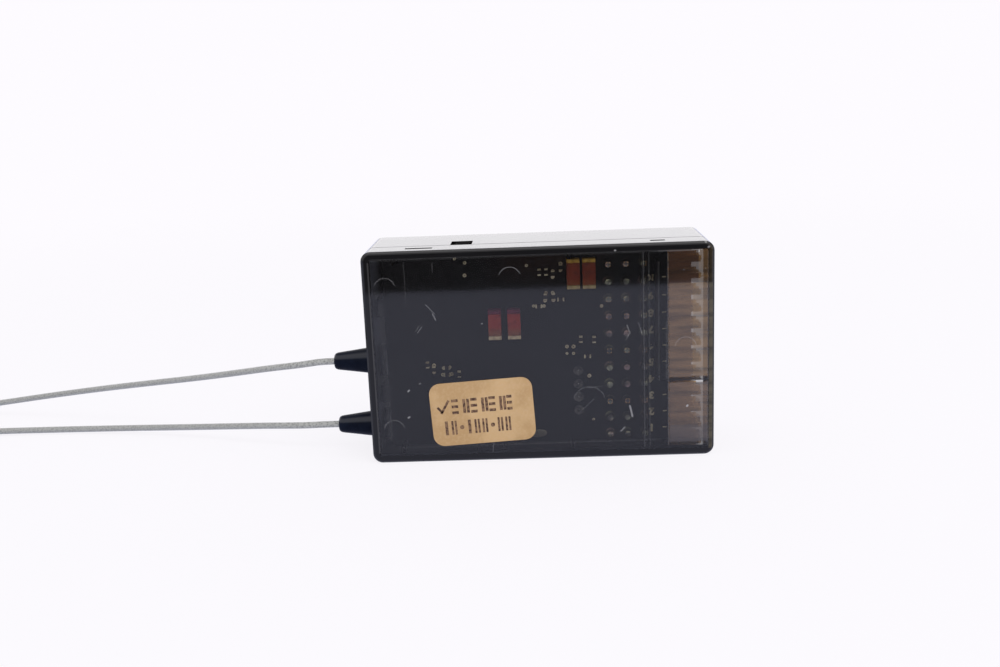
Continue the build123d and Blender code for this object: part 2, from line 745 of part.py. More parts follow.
# Bind switch: a side pressed switch at the edge of the board, under its slot
switch_top_z = board_top_z - switch_edge_gap
switch_low_z = switch_top_z - switch_length
switch_mid_z = (switch_top_z + switch_low_z) / 2
switch_mid_y = board_back_y + switch_height / 2
stem_top_z = switch_top_z + plunger_reach
collar_top_z = switch_top_z - switch_wall - plunger_clear
collar_low_z = collar_top_z - plunger_collar
hollow_low_z = stem_top_z - plunger_length - plunger_travel - plunger_clear
collar_width = plunger_width + 2 * plunger_collar_reach
with BuildPart() as bind_switch_case:
    with BuildSketch(facing_viewer(board_back_y)):
        with Locations((switch_x, switch_mid_z)):
            Rectangle(switch_width, switch_length)
    extrude(amount=-switch_height)
    with BuildSketch(lying(hollow_low_z)):
        with Locations((switch_x, switch_mid_y)):
            Rectangle(plunger_width + 2 * plunger_clear, plunger_height + 2 * plunger_clear)
    extrude(amount=switch_top_z - hollow_low_z, mode=Mode.SUBTRACT)
    with BuildSketch(lying(collar_low_z - plunger_travel - plunger_clear)):
        with Locations((switch_x, switch_mid_y)):
            Rectangle(collar_width + 2 * plunger_clear, plunger_height + 2 * plunger_clear)
    extrude(amount=plunger_collar + plunger_travel + 2 * plunger_clear, mode=Mode.SUBTRACT)
bind_switch_case.part.label = "bind_switch_case"
export_step(bind_switch_case.part, "parts/bind_switch_case.step")

with BuildPart() as bind_button:
    with BuildSketch(lying(stem_top_z - plunger_length)):
        with Locations((switch_x, switch_mid_y)):
            Rectangle(plunger_width, plunger_height)
    extrude(amount=plunger_length)
    with BuildSketch(lying(collar_low_z)):
        with Locations((switch_x, switch_mid_y)):
            Rectangle(collar_width, plunger_height)
    extrude(amount=plunger_collar)
    chamfer(bind_button.faces().sort_by(Axis.Z)[-1].edges(), plunger_edge)
bind_button.part.label = "bind_button"
export_step(bind_button.part, "parts/bind_button.step")

# Inspection sticker: a small paper label on the outside of the cover, put on a little askew
with BuildPart() as inspection_sticker:
    with BuildSketch(facing_viewer(front_y)):
        with Locations(Location((left_x + sticker_place, sticker_z), sticker_turn)):
            RectangleRounded(sticker_length, sticker_width, sticker_corner)
    extrude(amount=sticker_thick)
inspection_sticker.part.label = "inspection_sticker"
export_step(inspection_sticker.part, "parts/inspection_sticker.step")

# Each antenna: a rubber boot, the lead inside the case with its clip, the free cable, the rest of
# it coiled and tied, and the bare active tip. The control points of a free cable are x, y, z.
cable_routes = {
    "upper": [
        (boot_tip_x, antenna_y, upper_antenna_z),
        (-33.0, 0.0, 13.75),
        (-36.0, 0.8, 13.15),
        (-41.4, 2.6, 12.3),
        (-48.3, 5.8, 10.8),
        (-56.3, 9.8, 9.1),
        (-65.2, 14.0, 7.4),
        (-74.5, 17.8, 5.7),
        (-84.8, 21.0, 3.9),
        (-94.1, 23.2, 2.3),
        (-101.5, 24.4, 1.2),
        (-106.8, 24.7, 0.8),
        (-110.0, 24.7, 0.8),
    ],
    "lower": [
        (boot_tip_x, antenna_y, lower_antenna_z),
        (-33.2, 0.0, 3.85),
        (-36.6, 0.7, 3.55),
        (-42.5, 2.6, 3.1),
        (-49.6, 5.2, 2.35),
        (-57.6, 8.0, 1.55),
        (-65.9, 10.1, 1.0),
        (-74.0, 11.3, 0.7),
        (-81.9, 11.7, 0.62),
        (-88.4, 11.5, 0.7),
        (-93.0, 11.1, 0.8),
        (-96.0, 11.1, 0.8),
    ],
}
coil_z = tie_thick + tie_clear + coax_d / 2
tip_z = coil_z + coax_d / 2 + tip_clear + tip_d / 2
tip_start = {"upper": 305, "lower": 65}
bend_share = 0.45

for name, z in zip(("upper", "lower"), antenna_z):
    # Boot: a tapered rubber sleeve with a neck for the slot in the wall and a flange inside it
    flange_x = left_x + side_wall + boot_clear
    with BuildPart() as boot:
        with BuildSketch(Plane.XZ) as section:
            with BuildLine():
                Polyline(
                    (boot_tip_x, z + coax_d / 2 + bore_clear),
                    (boot_tip_x, z + boot_tip_d / 2),
                    (left_x - boot_clear, z + boot_base_d / 2),
                    (left_x - boot_clear, z + boot_neck_d / 2),
                    (flange_x, z + boot_neck_d / 2),
                    (flange_x, z + boot_flange_d / 2),
                    (flange_x + boot_flange, z + boot_flange_d / 2),
                    (flange_x + boot_flange, z + coax_d / 2 + bore_clear),
                    close=True,
                )
            make_face()
            tip_corner = section.vertices().group_by(Axis.X)[0].sort_by(Axis.Z)[-1]
            chamfer(tip_corner, boot_tip_bevel)
        revolve(axis=Axis((0, antenna_y, z), (1, 0, 0)))
    boot.part.label = f"{name}_antenna_boot"
    export_step(boot.part, f"parts/{name}_antenna_boot.step")

    # Lead: the stretch of coaxial cable that the boot and the case hold, down to its clip
    clip_y = board_back_y + clip_wall + coax_d / 2
    with BuildPart() as lead:
        with BuildLine() as lead_path:
            FilletPolyline(
                (boot_tip_x, antenna_y, z),
                (left_x + side_wall + boot_clear + boot_flange + lead_run, antenna_y, z),
                (clip_x - lead_lie, clip_y, z),
                (clip_x + clip_length, clip_y, z),
                radius=lead_bend,
            )
        with BuildSketch(Plane(origin=lead_path.line @ 0, z_dir=lead_path.line % 0)):
            RegularPolygon(coax_d / 2, coax_sides)
        sweep()
    lead.part.label = f"{name}_antenna_lead"
    export_step(lead.part, f"parts/{name}_antenna_lead.step")

    # Clip: a tin saddle round the lead, soldered to the board
    with BuildPart() as clip:
        with BuildSketch(facing_right(clip_x)):
            with Locations((board_back_y, z)):
                Rectangle(coax_d + 2 * clip_wall + bore_clear, clip_width, align=(Align.MIN, Align.CENTER))
            with Locations((clip_y, z)):
                Circle(coax_d / 2 + bore_clear, mode=Mode.SUBTRACT)
        extrude(amount=clip_length)
        chamfer(clip.edges().filter_by(Axis.X).group_by(Axis.Y)[-1], clip_edge)
    clip.part.label = f"{name}_lead_clip"
    export_step(clip.part, f"parts/{name}_lead_clip.step")

    # Free cable: straight runs joined by arcs as large as the runs allow
    route = [Vector(*p) for p in cable_routes[name]]
    radii = []
    for before, corner, after in zip(route, route[1:], route[2:]):
        turn = math.radians((corner - before).get_angle(after - corner))
        shorter = min((corner - before).length, (after - corner).length)
        radii.append(bend_share * shorter / math.tan(turn / 2))
    print(name, "cable radii", [round(r, 1) for r in radii])
    with BuildPart() as cable:
        with BuildLine() as cable_path:
            FilletPolyline(*route, radius=radii)
        with BuildSketch(Plane(origin=route[0], z_dir=route[1] - route[0])) as coax:
            RegularPolygon(coax_d / 2, coax_sides)
        sweep()
    free_length = sum(edge.length for edge in cable_path.edges())
    share = cable.part.volume / (coax.sketch.area * free_length)
    print(name, "cable length", round(free_length, 2), "volume over section times length", round(share, 4))
    cable.part.label = f"{name}_antenna_cable"
    export_step(cable.part, f"parts/{name}_antenna_cable.step")

    # Coil: the outer shape of the turns that lie beside each other, and of the end that enters it
    coil_x = route[-1].X - coil_stub
    coil_y = route[-1].Y - coil_r - coax_d / 2
    with BuildPart() as coil:
        with BuildSketch(lying(coil_z - coax_d / 2)):
            with Locations((coil_x, coil_y)):
                RegularPolygon(coil_r + coax_d, coil_sides)
                RegularPolygon(coil_r - coax_d, coil_sides, mode=Mode.SUBTRACT)
        extrude(amount=coax_d)
        with BuildSketch(facing_right(coil_x)):
            with Locations((route[-1].Y, coil_z)):
                RegularPolygon(coax_d / 2, coax_sides)
        extrude(amount=coil_stub)
    coil.part.label = f"{name}_antenna_coil"
    export_step(coil.part, f"parts/{name}_antenna_coil.step")

    # Bare tip: the unscreened end of the antenna, laid round the top of the coil
    tip_angles = [math.radians(tip_start[name] + tip_arc * i / tip_runs) for i in range(tip_runs + 1)]
    tip_points = [(coil_x + coil_r * math.cos(a), coil_y + coil_r * math.sin(a), tip_z) for a in tip_angles]
    with BuildPart() as bare_tip:
        with BuildLine() as tip_path:
            Polyline(tip_points)
        with BuildSketch(Plane(origin=tip_path.line @ 0, z_dir=tip_path.line % 0)):
            RegularPolygon(tip_d / 2, tip_sides)
        sweep(transition=Transition.RIGHT)
    bare_tip.part.label = f"{name}_antenna_tip"
    export_step(bare_tip.part, f"parts/{name}_antenna_tip.step")

    # Tie: a flat band round the coil, with a short tail
    hole_height = coax_d + tip_clear + tip_d + 2 * tie_clear
    with BuildPart() as tie:
        with BuildSketch(Plane.XZ.offset(-coil_y)):
            with Locations((coil_x - coil_r, tie_thick + hole_height / 2)):
                tie_outer = 2 * (coax_d + tie_room + tie_thick)
                band = Rectangle(tie_outer, hole_height + 2 * tie_thick)
                chamfer(band.vertices(), tie_corner)
                Rectangle(2 * (coax_d + tie_room), hole_height, mode=Mode.SUBTRACT)
        extrude(amount=tie_width / 2, both=True)
        with BuildSketch(Plane.XZ.offset(-coil_y)):
            with Locations((coil_x - coil_r - tie_outer / 2, coil_z)):
                Rectangle(tie_tail, tie_thick, align=(Align.MAX, Align.CENTER))
        extrude(amount=tie_width / 4, both=True)
    tie.part.label = f"{name}_coil_tie"
    export_step(tie.part, f"parts/{name}_coil_tie.step")
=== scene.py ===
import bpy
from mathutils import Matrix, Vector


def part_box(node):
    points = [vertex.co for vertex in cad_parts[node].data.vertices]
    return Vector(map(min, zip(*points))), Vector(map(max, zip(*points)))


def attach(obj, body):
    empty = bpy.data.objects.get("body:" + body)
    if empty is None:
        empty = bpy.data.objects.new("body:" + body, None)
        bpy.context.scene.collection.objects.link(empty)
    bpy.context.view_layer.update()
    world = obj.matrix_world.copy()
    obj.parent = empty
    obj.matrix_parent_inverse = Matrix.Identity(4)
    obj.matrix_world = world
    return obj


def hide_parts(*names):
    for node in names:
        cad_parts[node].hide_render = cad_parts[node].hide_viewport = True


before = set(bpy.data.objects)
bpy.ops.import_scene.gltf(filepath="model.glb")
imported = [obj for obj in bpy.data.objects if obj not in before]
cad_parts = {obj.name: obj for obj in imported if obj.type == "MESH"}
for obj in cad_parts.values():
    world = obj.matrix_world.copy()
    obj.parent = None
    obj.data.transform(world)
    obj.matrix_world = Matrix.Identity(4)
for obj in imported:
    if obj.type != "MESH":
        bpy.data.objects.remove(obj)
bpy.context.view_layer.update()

import math

import bpy
from mathutils import Matrix, Vector

# Camera: a little above the receiver, square to its broad face, as on a desk.
# Sizes of the receiver are written in millimetres, and mm turns them into
# metres. The desk and the lamps are in metres.
mm = 0.001
camera_place = Vector((-0.2508, -159.5627, 54.0579)) * mm
camera_right = Vector((0.99892, 0.02580, -0.03857))
camera_up = Vector((0.03175, 0.22594, 0.97362))
camera_back = Vector((0.03383, -0.97380, 0.22488))


def new_object(name, data):
    """A new object in the scene."""
    thing = bpy.data.objects.new(name, data)
    bpy.context.scene.collection.objects.link(thing)
    return thing


camera_data = bpy.data.cameras.new("camera")
camera_data.lens = 39.55
camera_data.sensor_width = 36.0
camera_data.clip_start = 0.005
camera = new_object("camera", camera_data)
camera_turn = Matrix((camera_right, camera_up, camera_back)).transposed()
camera.matrix_world = Matrix.Translation(camera_place) @ camera_turn.to_4x4()
bpy.context.scene.camera = camera
bpy.context.scene.view_settings.view_transform = "Standard"


# Case: two mouldings in smoke tinted clear plastic, a shallow cover in front and
# a deep housing behind, snapped together. The broad faces are polished and clear,
# the walls are dark seen edge on, and the light round the pins comes out brown.


def dress(name, finish):
    """Gives a node of the model its finish."""
    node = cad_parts[name]
    node.data.materials.clear()
    node.data.materials.append(finish)


def new_finish(name, roughness):
    """A new finish: its material, node tree, shader and object coordinates."""
    finish = bpy.data.materials.new(name)
    finish.use_nodes = True
    tree = finish.node_tree
    shader = tree.nodes["Principled BSDF"]
    shader.inputs["Roughness"].default_value = roughness
    place = tree.nodes.new("ShaderNodeTexCoord")
    return finish, tree, shader, place.outputs["Object"]


def maths(tree, operation, first, second=None):
    """One Math node. Each of its values is a number or a socket."""
    node = tree.nodes.new("ShaderNodeMath")
    node.operation = operation
    for socket, value in zip(node.inputs, (first, second)):
        if value is None:
            continue
        if isinstance(value, (int, float)):
            socket.default_value = value
        else:
            tree.links.new(value, socket)
    return node.outputs[0]


def times(tree, first, second):
    """The product of two values."""
    return maths(tree, "MULTIPLY", first, second)


def plus(tree, first, second):
    """The sum of two values."""
    return maths(tree, "ADD", first, second)


def step_up(tree, value, low, high):
    """0 at low and 1 at high, with a soft step between them."""
    node = tree.nodes.new("ShaderNodeMapRange")
    node.interpolation_type = "SMOOTHSTEP"
    tree.links.new(value, node.inputs["Value"])
    for socket, limit in (("From Min", low), ("From Max", high)):
        if isinstance(limit, (int, float)):
            node.inputs[socket].default_value = limit
        else:
            tree.links.new(limit, node.inputs[socket])
    return node.outputs["Result"]


def within(tree, value, low, high, soft):
    """1 where a value lies between two limits in millimetres, and 0 outside them."""
    above = step_up(tree, value, (low - soft) * mm, (low + soft) * mm)
    below = step_up(tree, value, (high + soft) * mm, (high - soft) * mm)
    return times(tree, above, below)


def blend(tree, factor, first, second):
    """A mix of two colours. Each is four numbers or a socket."""
    node = tree.nodes.new("ShaderNodeMix")
    node.data_type = "RGBA"
    tree.links.new(factor, node.inputs["Factor"])
    for socket, value in (("A", first), ("B", second)):
        if isinstance(value, tuple):
            node.inputs[socket].default_value = value
        else:
            tree.links.new(value, node.inputs[socket])
    return node.outputs["Result"]


def noise(tree, vector, scale, detail=2.0):
    """Soft noise over the object, from 0 to 1."""
    node = tree.nodes.new("ShaderNodeTexNoise")
    node.inputs["Scale"].default_value = scale
    node.inputs["Detail"].default_value = detail
    tree.links.new(vector, node.inputs["Vector"])
    return node.outputs["Fac"]


def parts_of(tree, vector):
    """The X, Y and Z of a vector."""
    node = tree.nodes.new("ShaderNodeSeparateXYZ")
    tree.links.new(vector, node.inputs[0])
    return node.outputs


def relief(tree, shader, height, strength, distance):
    """A bump of some height in millimetres on a shader."""
    node = tree.nodes.new("ShaderNodeBump")
    node.inputs["Strength"].default_value = strength
    node.inputs["Distance"].default_value = distance * mm
    tree.links.new(height, node.inputs["Height"])
    tree.links.new(node.outputs["Normal"], shader.inputs["Normal"])


def paint(tree, shader, factor, first, second):
    """Gives a shader a base colour that lies between two colours."""
    tree.links.new(blend(tree, factor, first, second), shader.inputs["Base Color"])


def new_group(name, vectors, numbers, results):
    """An empty node group. Vectors and numbers go into it, and numbers come out."""
    group = bpy.data.node_groups.new(name, "ShaderNodeTree")
    for socket in vectors:
        group.interface.new_socket(socket, in_out="INPUT", socket_type="NodeSocketVector")
    for socket in numbers:
        group.interface.new_socket(socket, in_out="INPUT", socket_type="NodeSocketFloat")
    for socket in results:
        group.interface.new_socket(socket, in_out="OUTPUT", socket_type="NodeSocketFloat")
    return group, group.nodes.new("NodeGroupInput").outputs, group.nodes.new("NodeGroupOutput").inputs


def group_node(tree, group, vector, **values):
    """A node that runs a group at a place, with the group's other inputs set."""
    node = tree.nodes.new("ShaderNodeGroup")
    node.node_tree = group
    tree.links.new(vector, node.inputs["Vector"])
    for socket, value in values.items():
        node.inputs[socket].default_value = value
    return node.outputs


def vector_maths(tree, operation, first, second=None):
    """One Vector Math node."""
    node = tree.nodes.new("ShaderNodeVectorMath")
    node.operation = operation
    tree.links.new(first, node.inputs[0])
    if second is not None:
        tree.links.new(second, node.inputs[1])
    return node


# Stroke: 1 along a straight mark between two points, soft at its edge
stroke, given, gives = new_group("stroke", ("Vector", "From", "To"), ("Width",), ("Mask",))
reach = vector_maths(stroke, "SUBTRACT", given["Vector"], given["From"]).outputs[0]
run = vector_maths(stroke, "SUBTRACT", given["To"], given["From"]).outputs[0]
along = vector_maths(stroke, "DOT_PRODUCT", reach, run).outputs["Value"]
whole = vector_maths(stroke, "DOT_PRODUCT", run, run).outputs["Value"]
share = maths(stroke, "MINIMUM", maths(stroke, "MAXIMUM", maths(stroke, "DIVIDE", along, whole), 0.0), 1.0)
nearest = vector_maths(stroke, "SCALE", run)
stroke.links.new(share, nearest.inputs["Scale"])
off = vector_maths(stroke, "DISTANCE", reach, nearest.outputs[0]).outputs["Value"]
core = times(stroke, given["Width"], 0.35)
stroke.links.new(step_up(stroke, off, given["Width"], core), gives["Mask"])

# Ring: 1 on a circle round a point, only above a height
ring, given, gives = new_group("ring", ("Vector", "Centre"), ("Radius", "Above"), ("Mask",))
off = vector_maths(ring, "DISTANCE", given["Vector"], given["Centre"]).outputs["Value"]
off = maths(ring, "ABSOLUTE", maths(ring, "SUBTRACT", off, given["Radius"]))
height = maths(ring, "SUBTRACT", parts_of(ring, given["Vector"])["Z"], given["Above"])
round_mark = step_up(ring, off, 0.11 * mm, 0.03 * mm)
ring.links.new(times(ring, round_mark, step_up(ring, height, -0.1 * mm, 0.2 * mm)), gives["Mask"])

# Handling wear: hair scratches, dust and a faint cloud of finger grease
handling, given, gives = new_group("handling", ("Vector",), (), ("Scratches", "Dust", "Cloud"))
lines = None
for angle in (0.5, 1.9, 2.8):
    spin = handling.nodes.new("ShaderNodeMapping")
    spin.inputs["Rotation"].default_value = (0, angle, 0)
    spin.inputs["Scale"].default_value = (0.05, 1.0, 1.0)
    handling.links.new(given["Vector"], spin.inputs["Vector"])
    fibre = noise(handling, spin.outputs["Vector"], 300.0, 0.0)
    off = maths(handling, "ABSOLUTE", maths(handling, "SUBTRACT", fibre, 0.66))
    thin = step_up(handling, off, 0.003, 0.0)
    lines = thin if lines is None else maths(handling, "MAXIMUM", lines, thin)
specks = handling.nodes.new("ShaderNodeTexVoronoi")
specks.inputs["Scale"].default_value = 420.0
handling.links.new(given["Vector"], specks.inputs["Vector"])
kept = step_up(handling, noise(handling, given["Vector"], 130.0), 0.52, 0.66)
handling.links.new(lines, gives["Scratches"])
speck = step_up(handling, specks.outputs["Distance"], 0.075, 0.03)
handling.links.new(times(handling, speck, kept), gives["Dust"])
handling.links.new(noise(handling, given["Vector"], 55.0, 3.0), gives["Cloud"])

# Marks on the cover, painted grey: real scratches and specks, and painted highlights, thin lines of light
# along edges inside the case and glints. From and to as X and Z on the face, width and strength
cover_strokes = [
    ((14.85, 1.4), (14.85, 29.8), 0.07, 0.16), ((15.62, 1.4), (15.62, 29.8), 0.06, 0.12),
    ((16.95, 11.4), (16.95, 28.4), 0.06, 0.14), ((18.0, 11.6), (18.0, 20.0), 0.06, 0.16),
    ((18.25, 1.6), (18.25, 29.6), 0.06, 0.24), ((23.85, 1.6), (23.85, 29.7), 0.07, 0.10),
    ((-23.78, 1.6), (-23.78, 29.6), 0.10, 0.10), ((-22.0, 4.0), (-22.25, 23.5), 0.38, 0.05),
    ((-18.7, 23.1), (-18.7, 29.7), 0.05, 0.14), ((-14.7, 28.1), (-14.7, 29.4), 0.05, 0.22),
    ((-23.4, 30.0), (17.0, 30.0), 0.14, 0.07), ((17.0, 30.0), (21.9, 30.0), 0.10, 0.20),
    ((-21.0, 2.3), (17.0, 2.5), 0.07, 0.10),
    ((-15.94, 23.48), (-14.68, 22.09), 0.05, 0.45), ((-14.99, 22.1), (-14.61, 21.22), 0.07, 0.55),
    ((-17.27, 19.41), (-16.58, 20.32), 0.05, 0.45), ((-17.6, 19.6), (-16.95, 20.5), 0.04, 0.35),
    ((6.78, 10.52), (8.79, 10.76), 0.05, 0.25), ((5.55, 6.97), (7.61, 8.85), 0.05, 0.22),
    ((14.03, 19.98), (14.57, 18.37), 0.05, 0.40),
    ((12.47, 19.6), (12.88, 18.43), 0.06, 0.50), ((12.88, 18.43), (12.3, 17.42), 0.05, 0.40),
    ((12.75, 7.65), (13.09, 6.13), 0.12, 0.75), ((11.41, 3.92), (11.99, 4.5), 0.08, 0.60),
    ((-7.24, 1.27), (-7.02, 3.1), 0.05, 0.35), ((-19.1, 10.8), (-18.95, 10.95), 0.11, 0.80),
    ((-19.3, 6.85), (-19.1, 6.95), 0.11, 0.80), ((-17.45, 11.88), (-17.25, 11.93), 0.09, 0.50),
    ((-8.1, 20.45), (-8.0, 20.5), 0.08, 0.60), ((20.9, 7.4), (21.0, 7.5), 0.12, 0.90),
    ((23.9, 30.35), (24.0, 30.4), 0.12, 0.60), ((10.9, 30.3), (11.0, 30.3), 0.10, 0.70),
]
# Round marks of the ejector pins inside the cover: X, Z, radius, strength and how far up they start to show
ejector_marks = [
    (-21.58, 25.94, 1.5, 0.30, 0.4), (-21.4, 5.01, 1.5, 0.34, 0.3), (-3.88, 26.91, 1.55, 0.45, 0.5),
    (20.74, 16.11, 1.5, 0.20, 0.2), (6.94, 8.4, 2.3, 0.22, 0.6),
]

# A mark has faded out this many of its widths from its line
mark_fade = 1.6


def marks_on(tree, flat, strokes, rings):
    """How strongly the marks of the two lists show at a place."""
    marks = []
    for (x0, z0), (x1, z1), width, strength in strokes:
        start = (x0 * mm, 0, z0 * mm)
        end = (x1 * mm, 0, z1 * mm)
        mark = group_node(tree, stroke, flat, From=start, To=end, Width=mark_fade * width * mm)
        marks.append(times(tree, mark["Mask"], strength))
    for x, z, radius, strength, above in rings:
        centre = (x * mm, 0, z * mm)
        mark = group_node(tree, ring, flat, Centre=centre, Radius=radius * mm, Above=(z + above) * mm)
        marks.append(times(tree, mark["Mask"], strength))
    total = marks[0]
    for mark in marks[1:]:
        total = maths(tree, "MAXIMUM", total, mark)
    return total


# The clear pane of each broad face ends at the rim, with a slightly soft edge
pane_z = (1.15, 30.05)
pane_edge = 0.08
smoke_dark = (0.0022, 0.0020, 0.0026, 1)
smoke_light = (0.0055, 0.0048, 0.0052, 1)
scratch_and_highlight_grey = (0.36, 0.35, 0.36, 1)
dust_grey = (0.30, 0.30, 0.32, 1)


def smoke_plastic(name, face_y, clear_x, clear, strokes=(), rings=(), rooms=()):
    """Smoke tinted clear plastic. It is clear over the polished broad face and dark where a wall is seen edge
    on. A room is a block of space, the colour of the light painted into it and how dense the plastic looks in
    it."""
    finish, tree, shader, vector = new_finish(name, 0.3)
    finish.surface_render_method = "BLENDED"
    x, y, z = parts_of(tree, vector)
    _, side_y, side_z = parts_of(tree, tree.nodes.new("ShaderNodeTexCoord").outputs["Normal"])
    broad = step_up(tree, maths(tree, "ABSOLUTE", side_y), 0.90, 0.97)
    # Faces that point up are marked for a painted sheen on the top
    painted_top_sheen = step_up(tree, side_z, 0.50, 0.80)
    # The outer skin of the broad face shines, and the skin inside it is nearly gone from view
    depth = maths(tree, "ABSOLUTE", maths(tree, "SUBTRACT", y, face_y * mm))
    outer = step_up(tree, depth, 0.55 * mm, 0.35 * mm)
    pane = times(tree, within(tree, x, *clear_x, pane_edge), within(tree, z, *pane_z, pane_edge))
    pane = times(tree, pane, broad)
    outer_pane = times(tree, pane, outer)
    inner_pane = maths(tree, "SUBTRACT", pane, outer_pane)

    wear = group_node(tree, handling, vector)
    colour = blend(tree, wear["Cloud"], smoke_dark, smoke_light)
    alpha = maths(tree, "SUBTRACT", 1.0, times(tree, outer_pane, 1.0 - clear))
    alpha = maths(tree, "SUBTRACT", alpha, times(tree, inner_pane, 0.95))
    streak = tree.nodes.new("ShaderNodeMapping")
    streak.inputs["Scale"].default_value = (0.1, 0.1, 1.0)
    tree.links.new(vector, streak.inputs["Vector"])
    streaks = step_up(tree, noise(tree, streak.outputs["Vector"], 1100.0, 3.0), 0.30, 0.62)
    # Painted light: in each room the light round the pins is painted into the colour, streaky, and the
    # plastic there is made denser
    for (xs, ys, zs), painted_glow, dense in rooms:
        room = times(tree, within(tree, x, *xs, 0.12), within(tree, z, *zs, 0.12))
        room = times(tree, room, within(tree, y, *ys, 0.02))
        dim = tuple(0.45 * share for share in painted_glow[:3]) + (1,)
        colour = blend(tree, room, colour, blend(tree, streaks, dim, painted_glow))
        alpha = maths(tree, "MAXIMUM", alpha, times(tree, times(tree, room, outer), dense))
    if strokes:
        flatten = tree.nodes.new("ShaderNodeVectorMath")
        flatten.operation = "MULTIPLY"
        flatten.inputs[1].default_value = (1, 0, 1)
        tree.links.new(vector, flatten.inputs[0])
        marks = marks_on(tree, flatten.outputs[0], strokes, rings)
        marks = times(tree, marks, times(tree, outer, broad))
        # The strokes paint scratches and painted highlights: lines of light along inner edges and glints
        colour = blend(tree, marks, colour, scratch_and_highlight_grey)
        alpha = plus(tree, alpha, times(tree, marks, 0.35))
    dust = times(tree, wear["Dust"], 0.35)
    paint(tree, shader, dust, colour, dust_grey)
    alpha = plus(tree, alpha, times(tree, wear["Scratches"], 0.05))
    alpha = plus(tree, alpha, times(tree, dust, 0.2))
    tree.links.new(maths(tree, "MINIMUM", alpha, 1.0), shader.inputs["Alpha"])

    # The polished face reflects most, and faces that point up get the same strong coat as a painted sheen
    # that brightens the top; the rim and the inside reflect less
    gloss = maths(tree, "MAXIMUM", outer_pane, painted_top_sheen)
    tree.links.new(plus(tree, times(tree, gloss, 0.66), 0.26), shader.inputs["Coat Weight"])
    rough = plus(tree, times(tree, wear["Cloud"], 0.12), 0.28)
    rough = plus(tree, rough, times(tree, wear["Scratches"], 0.2))
    tree.links.new(rough, shader.inputs["Roughness"])
    grain = plus(tree, noise(tree, vector, 900.0), times(tree, wear["Scratches"], -0.6))
    relief(tree, shader, grain, 0.25, 0.006)
    shader.inputs["Specular IOR Level"].default_value = 0.12
    shader.inputs["Coat IOR"].default_value = 1.8
    shader.inputs["Coat Roughness"].default_value = 0.05
    return finish


# The light round the pins as seen through the cover, painted on the cover: in the sockets, at the keyways and
# in the rim, with painted shade at the top and the bottom
pane_skin = (-7.7, -7.0)
rim_skin = (-7.7, -7.45)
sockets_x = (18.35, 23.9)
keyways_x = (21.7, 23.8)
rim_x = (24.0, 25.0)
cover_rooms = [
    ((sockets_x, pane_skin, (11.72, 29.75)), (0.130, 0.074, 0.036, 1), 0.85),
    ((sockets_x, pane_skin, (2.4, 11.0)), (0.112, 0.064, 0.034, 1), 0.85),
    ((keyways_x, pane_skin, (11.9, 29.5)), (0.170, 0.100, 0.040, 1), 0.91),
    ((sockets_x, pane_skin, (2.0, 4.6)), (0.062, 0.044, 0.036, 1), 0.88),
    (((18.35, 22.6), pane_skin, (25.4, 30.1)), (0.034, 0.0130, 0.0050, 1), 0.92),
    (((22.6, 23.9), pane_skin, (25.4, 30.1)), (0.085, 0.044, 0.0150, 1), 0.91),
    ((keyways_x, pane_skin, (4.6, 10.9)), (0.125, 0.072, 0.036, 1), 0.91),
    ((rim_x, rim_skin, (1.0, 25.4)), (0.085, 0.070, 0.044, 1), 1.0),
    ((rim_x, rim_skin, (25.4, 31.0)), (0.028, 0.019, 0.0085, 1), 1.0),
]
# The guide wall of the sockets, painted brown for the same light
housing_rooms = [(((18.95, 24.75), (-3.1, 6.6), (0.9, 30.3)), (0.30, 0.17, 0.095, 1), 0.0)]

outside_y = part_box("main_housing")[1][1] / mm
cover_plastic = smoke_plastic(
    "cover_plastic", -outside_y, (-23.65, 24.0), 0.52, cover_strokes, ejector_marks, cover_rooms
)
dress("rear_cover", cover_plastic)
housing_plastic = smoke_plastic("housing_plastic", outside_y, (-21.8, 18.4), 0.60, rooms=housing_rooms)
dress("main_housing", housing_plastic)


# Circuit board: dark solder resist over glass fibre, with areas of copper under
# it. The side that faces the cover has tinned vias, ringed service pads, a patch
# of clear glue and printed channel numbers beside the pins.
board_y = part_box("main_board")[0][1] / mm

resist, tree, shader, vector = new_finish("solder_resist", 0.5)
copper = tree.nodes.new("ShaderNodeTexVoronoi")
copper.distance = "CHEBYCHEV"
copper.inputs["Scale"].default_value = 260.0
tree.links.new(vector, copper.inputs["Vector"])
areas = step_up(tree, parts_of(tree, copper.outputs["Color"])["X"], 0.35, 0.75)
colour = blend(tree, areas, (0.0052, 0.0060, 0.0072, 1), (0.0078, 0.0084, 0.0094, 1))
# The board is tinted warm under the top edge, as it looks in the photograph
board_x, _, board_z = parts_of(tree, vector)
warm = times(tree, within(tree, board_x, -5.0, 9.0, 4.0), within(tree, board_z, 26.5, 34.0, 3.0))
colour = blend(tree, times(tree, warm, 0.8), colour, (0.034, 0.0110, 0.0035, 1))
tree.links.new(colour, shader.inputs["Base Color"])
relief(tree, shader, plus(tree, areas, noise(tree, vector, 1400.0)), 0.2, 0.015)
shader.inputs["Specular IOR Level"].default_value = 0.12
dress("main_board", resist)


def plated(name, dark, light, roughness, metallic=0.75, scale=1200.0):
    """Plated or tinned metal with a faint mottle."""
    finish, tree, shader, vector = new_finish(name, roughness)
    mottle = noise(tree, vector, scale, 3.0)
    paint(tree, shader, step_up(tree, mottle, 0.3, 0.7), dark, light)
    tree.links.new(plus(tree, times(tree, mottle, 0.2), roughness), shader.inputs["Roughness"])
    relief(tree, shader, mottle, 0.3, 0.02)
    shader.inputs["Metallic"].default_value = metallic
    return finish


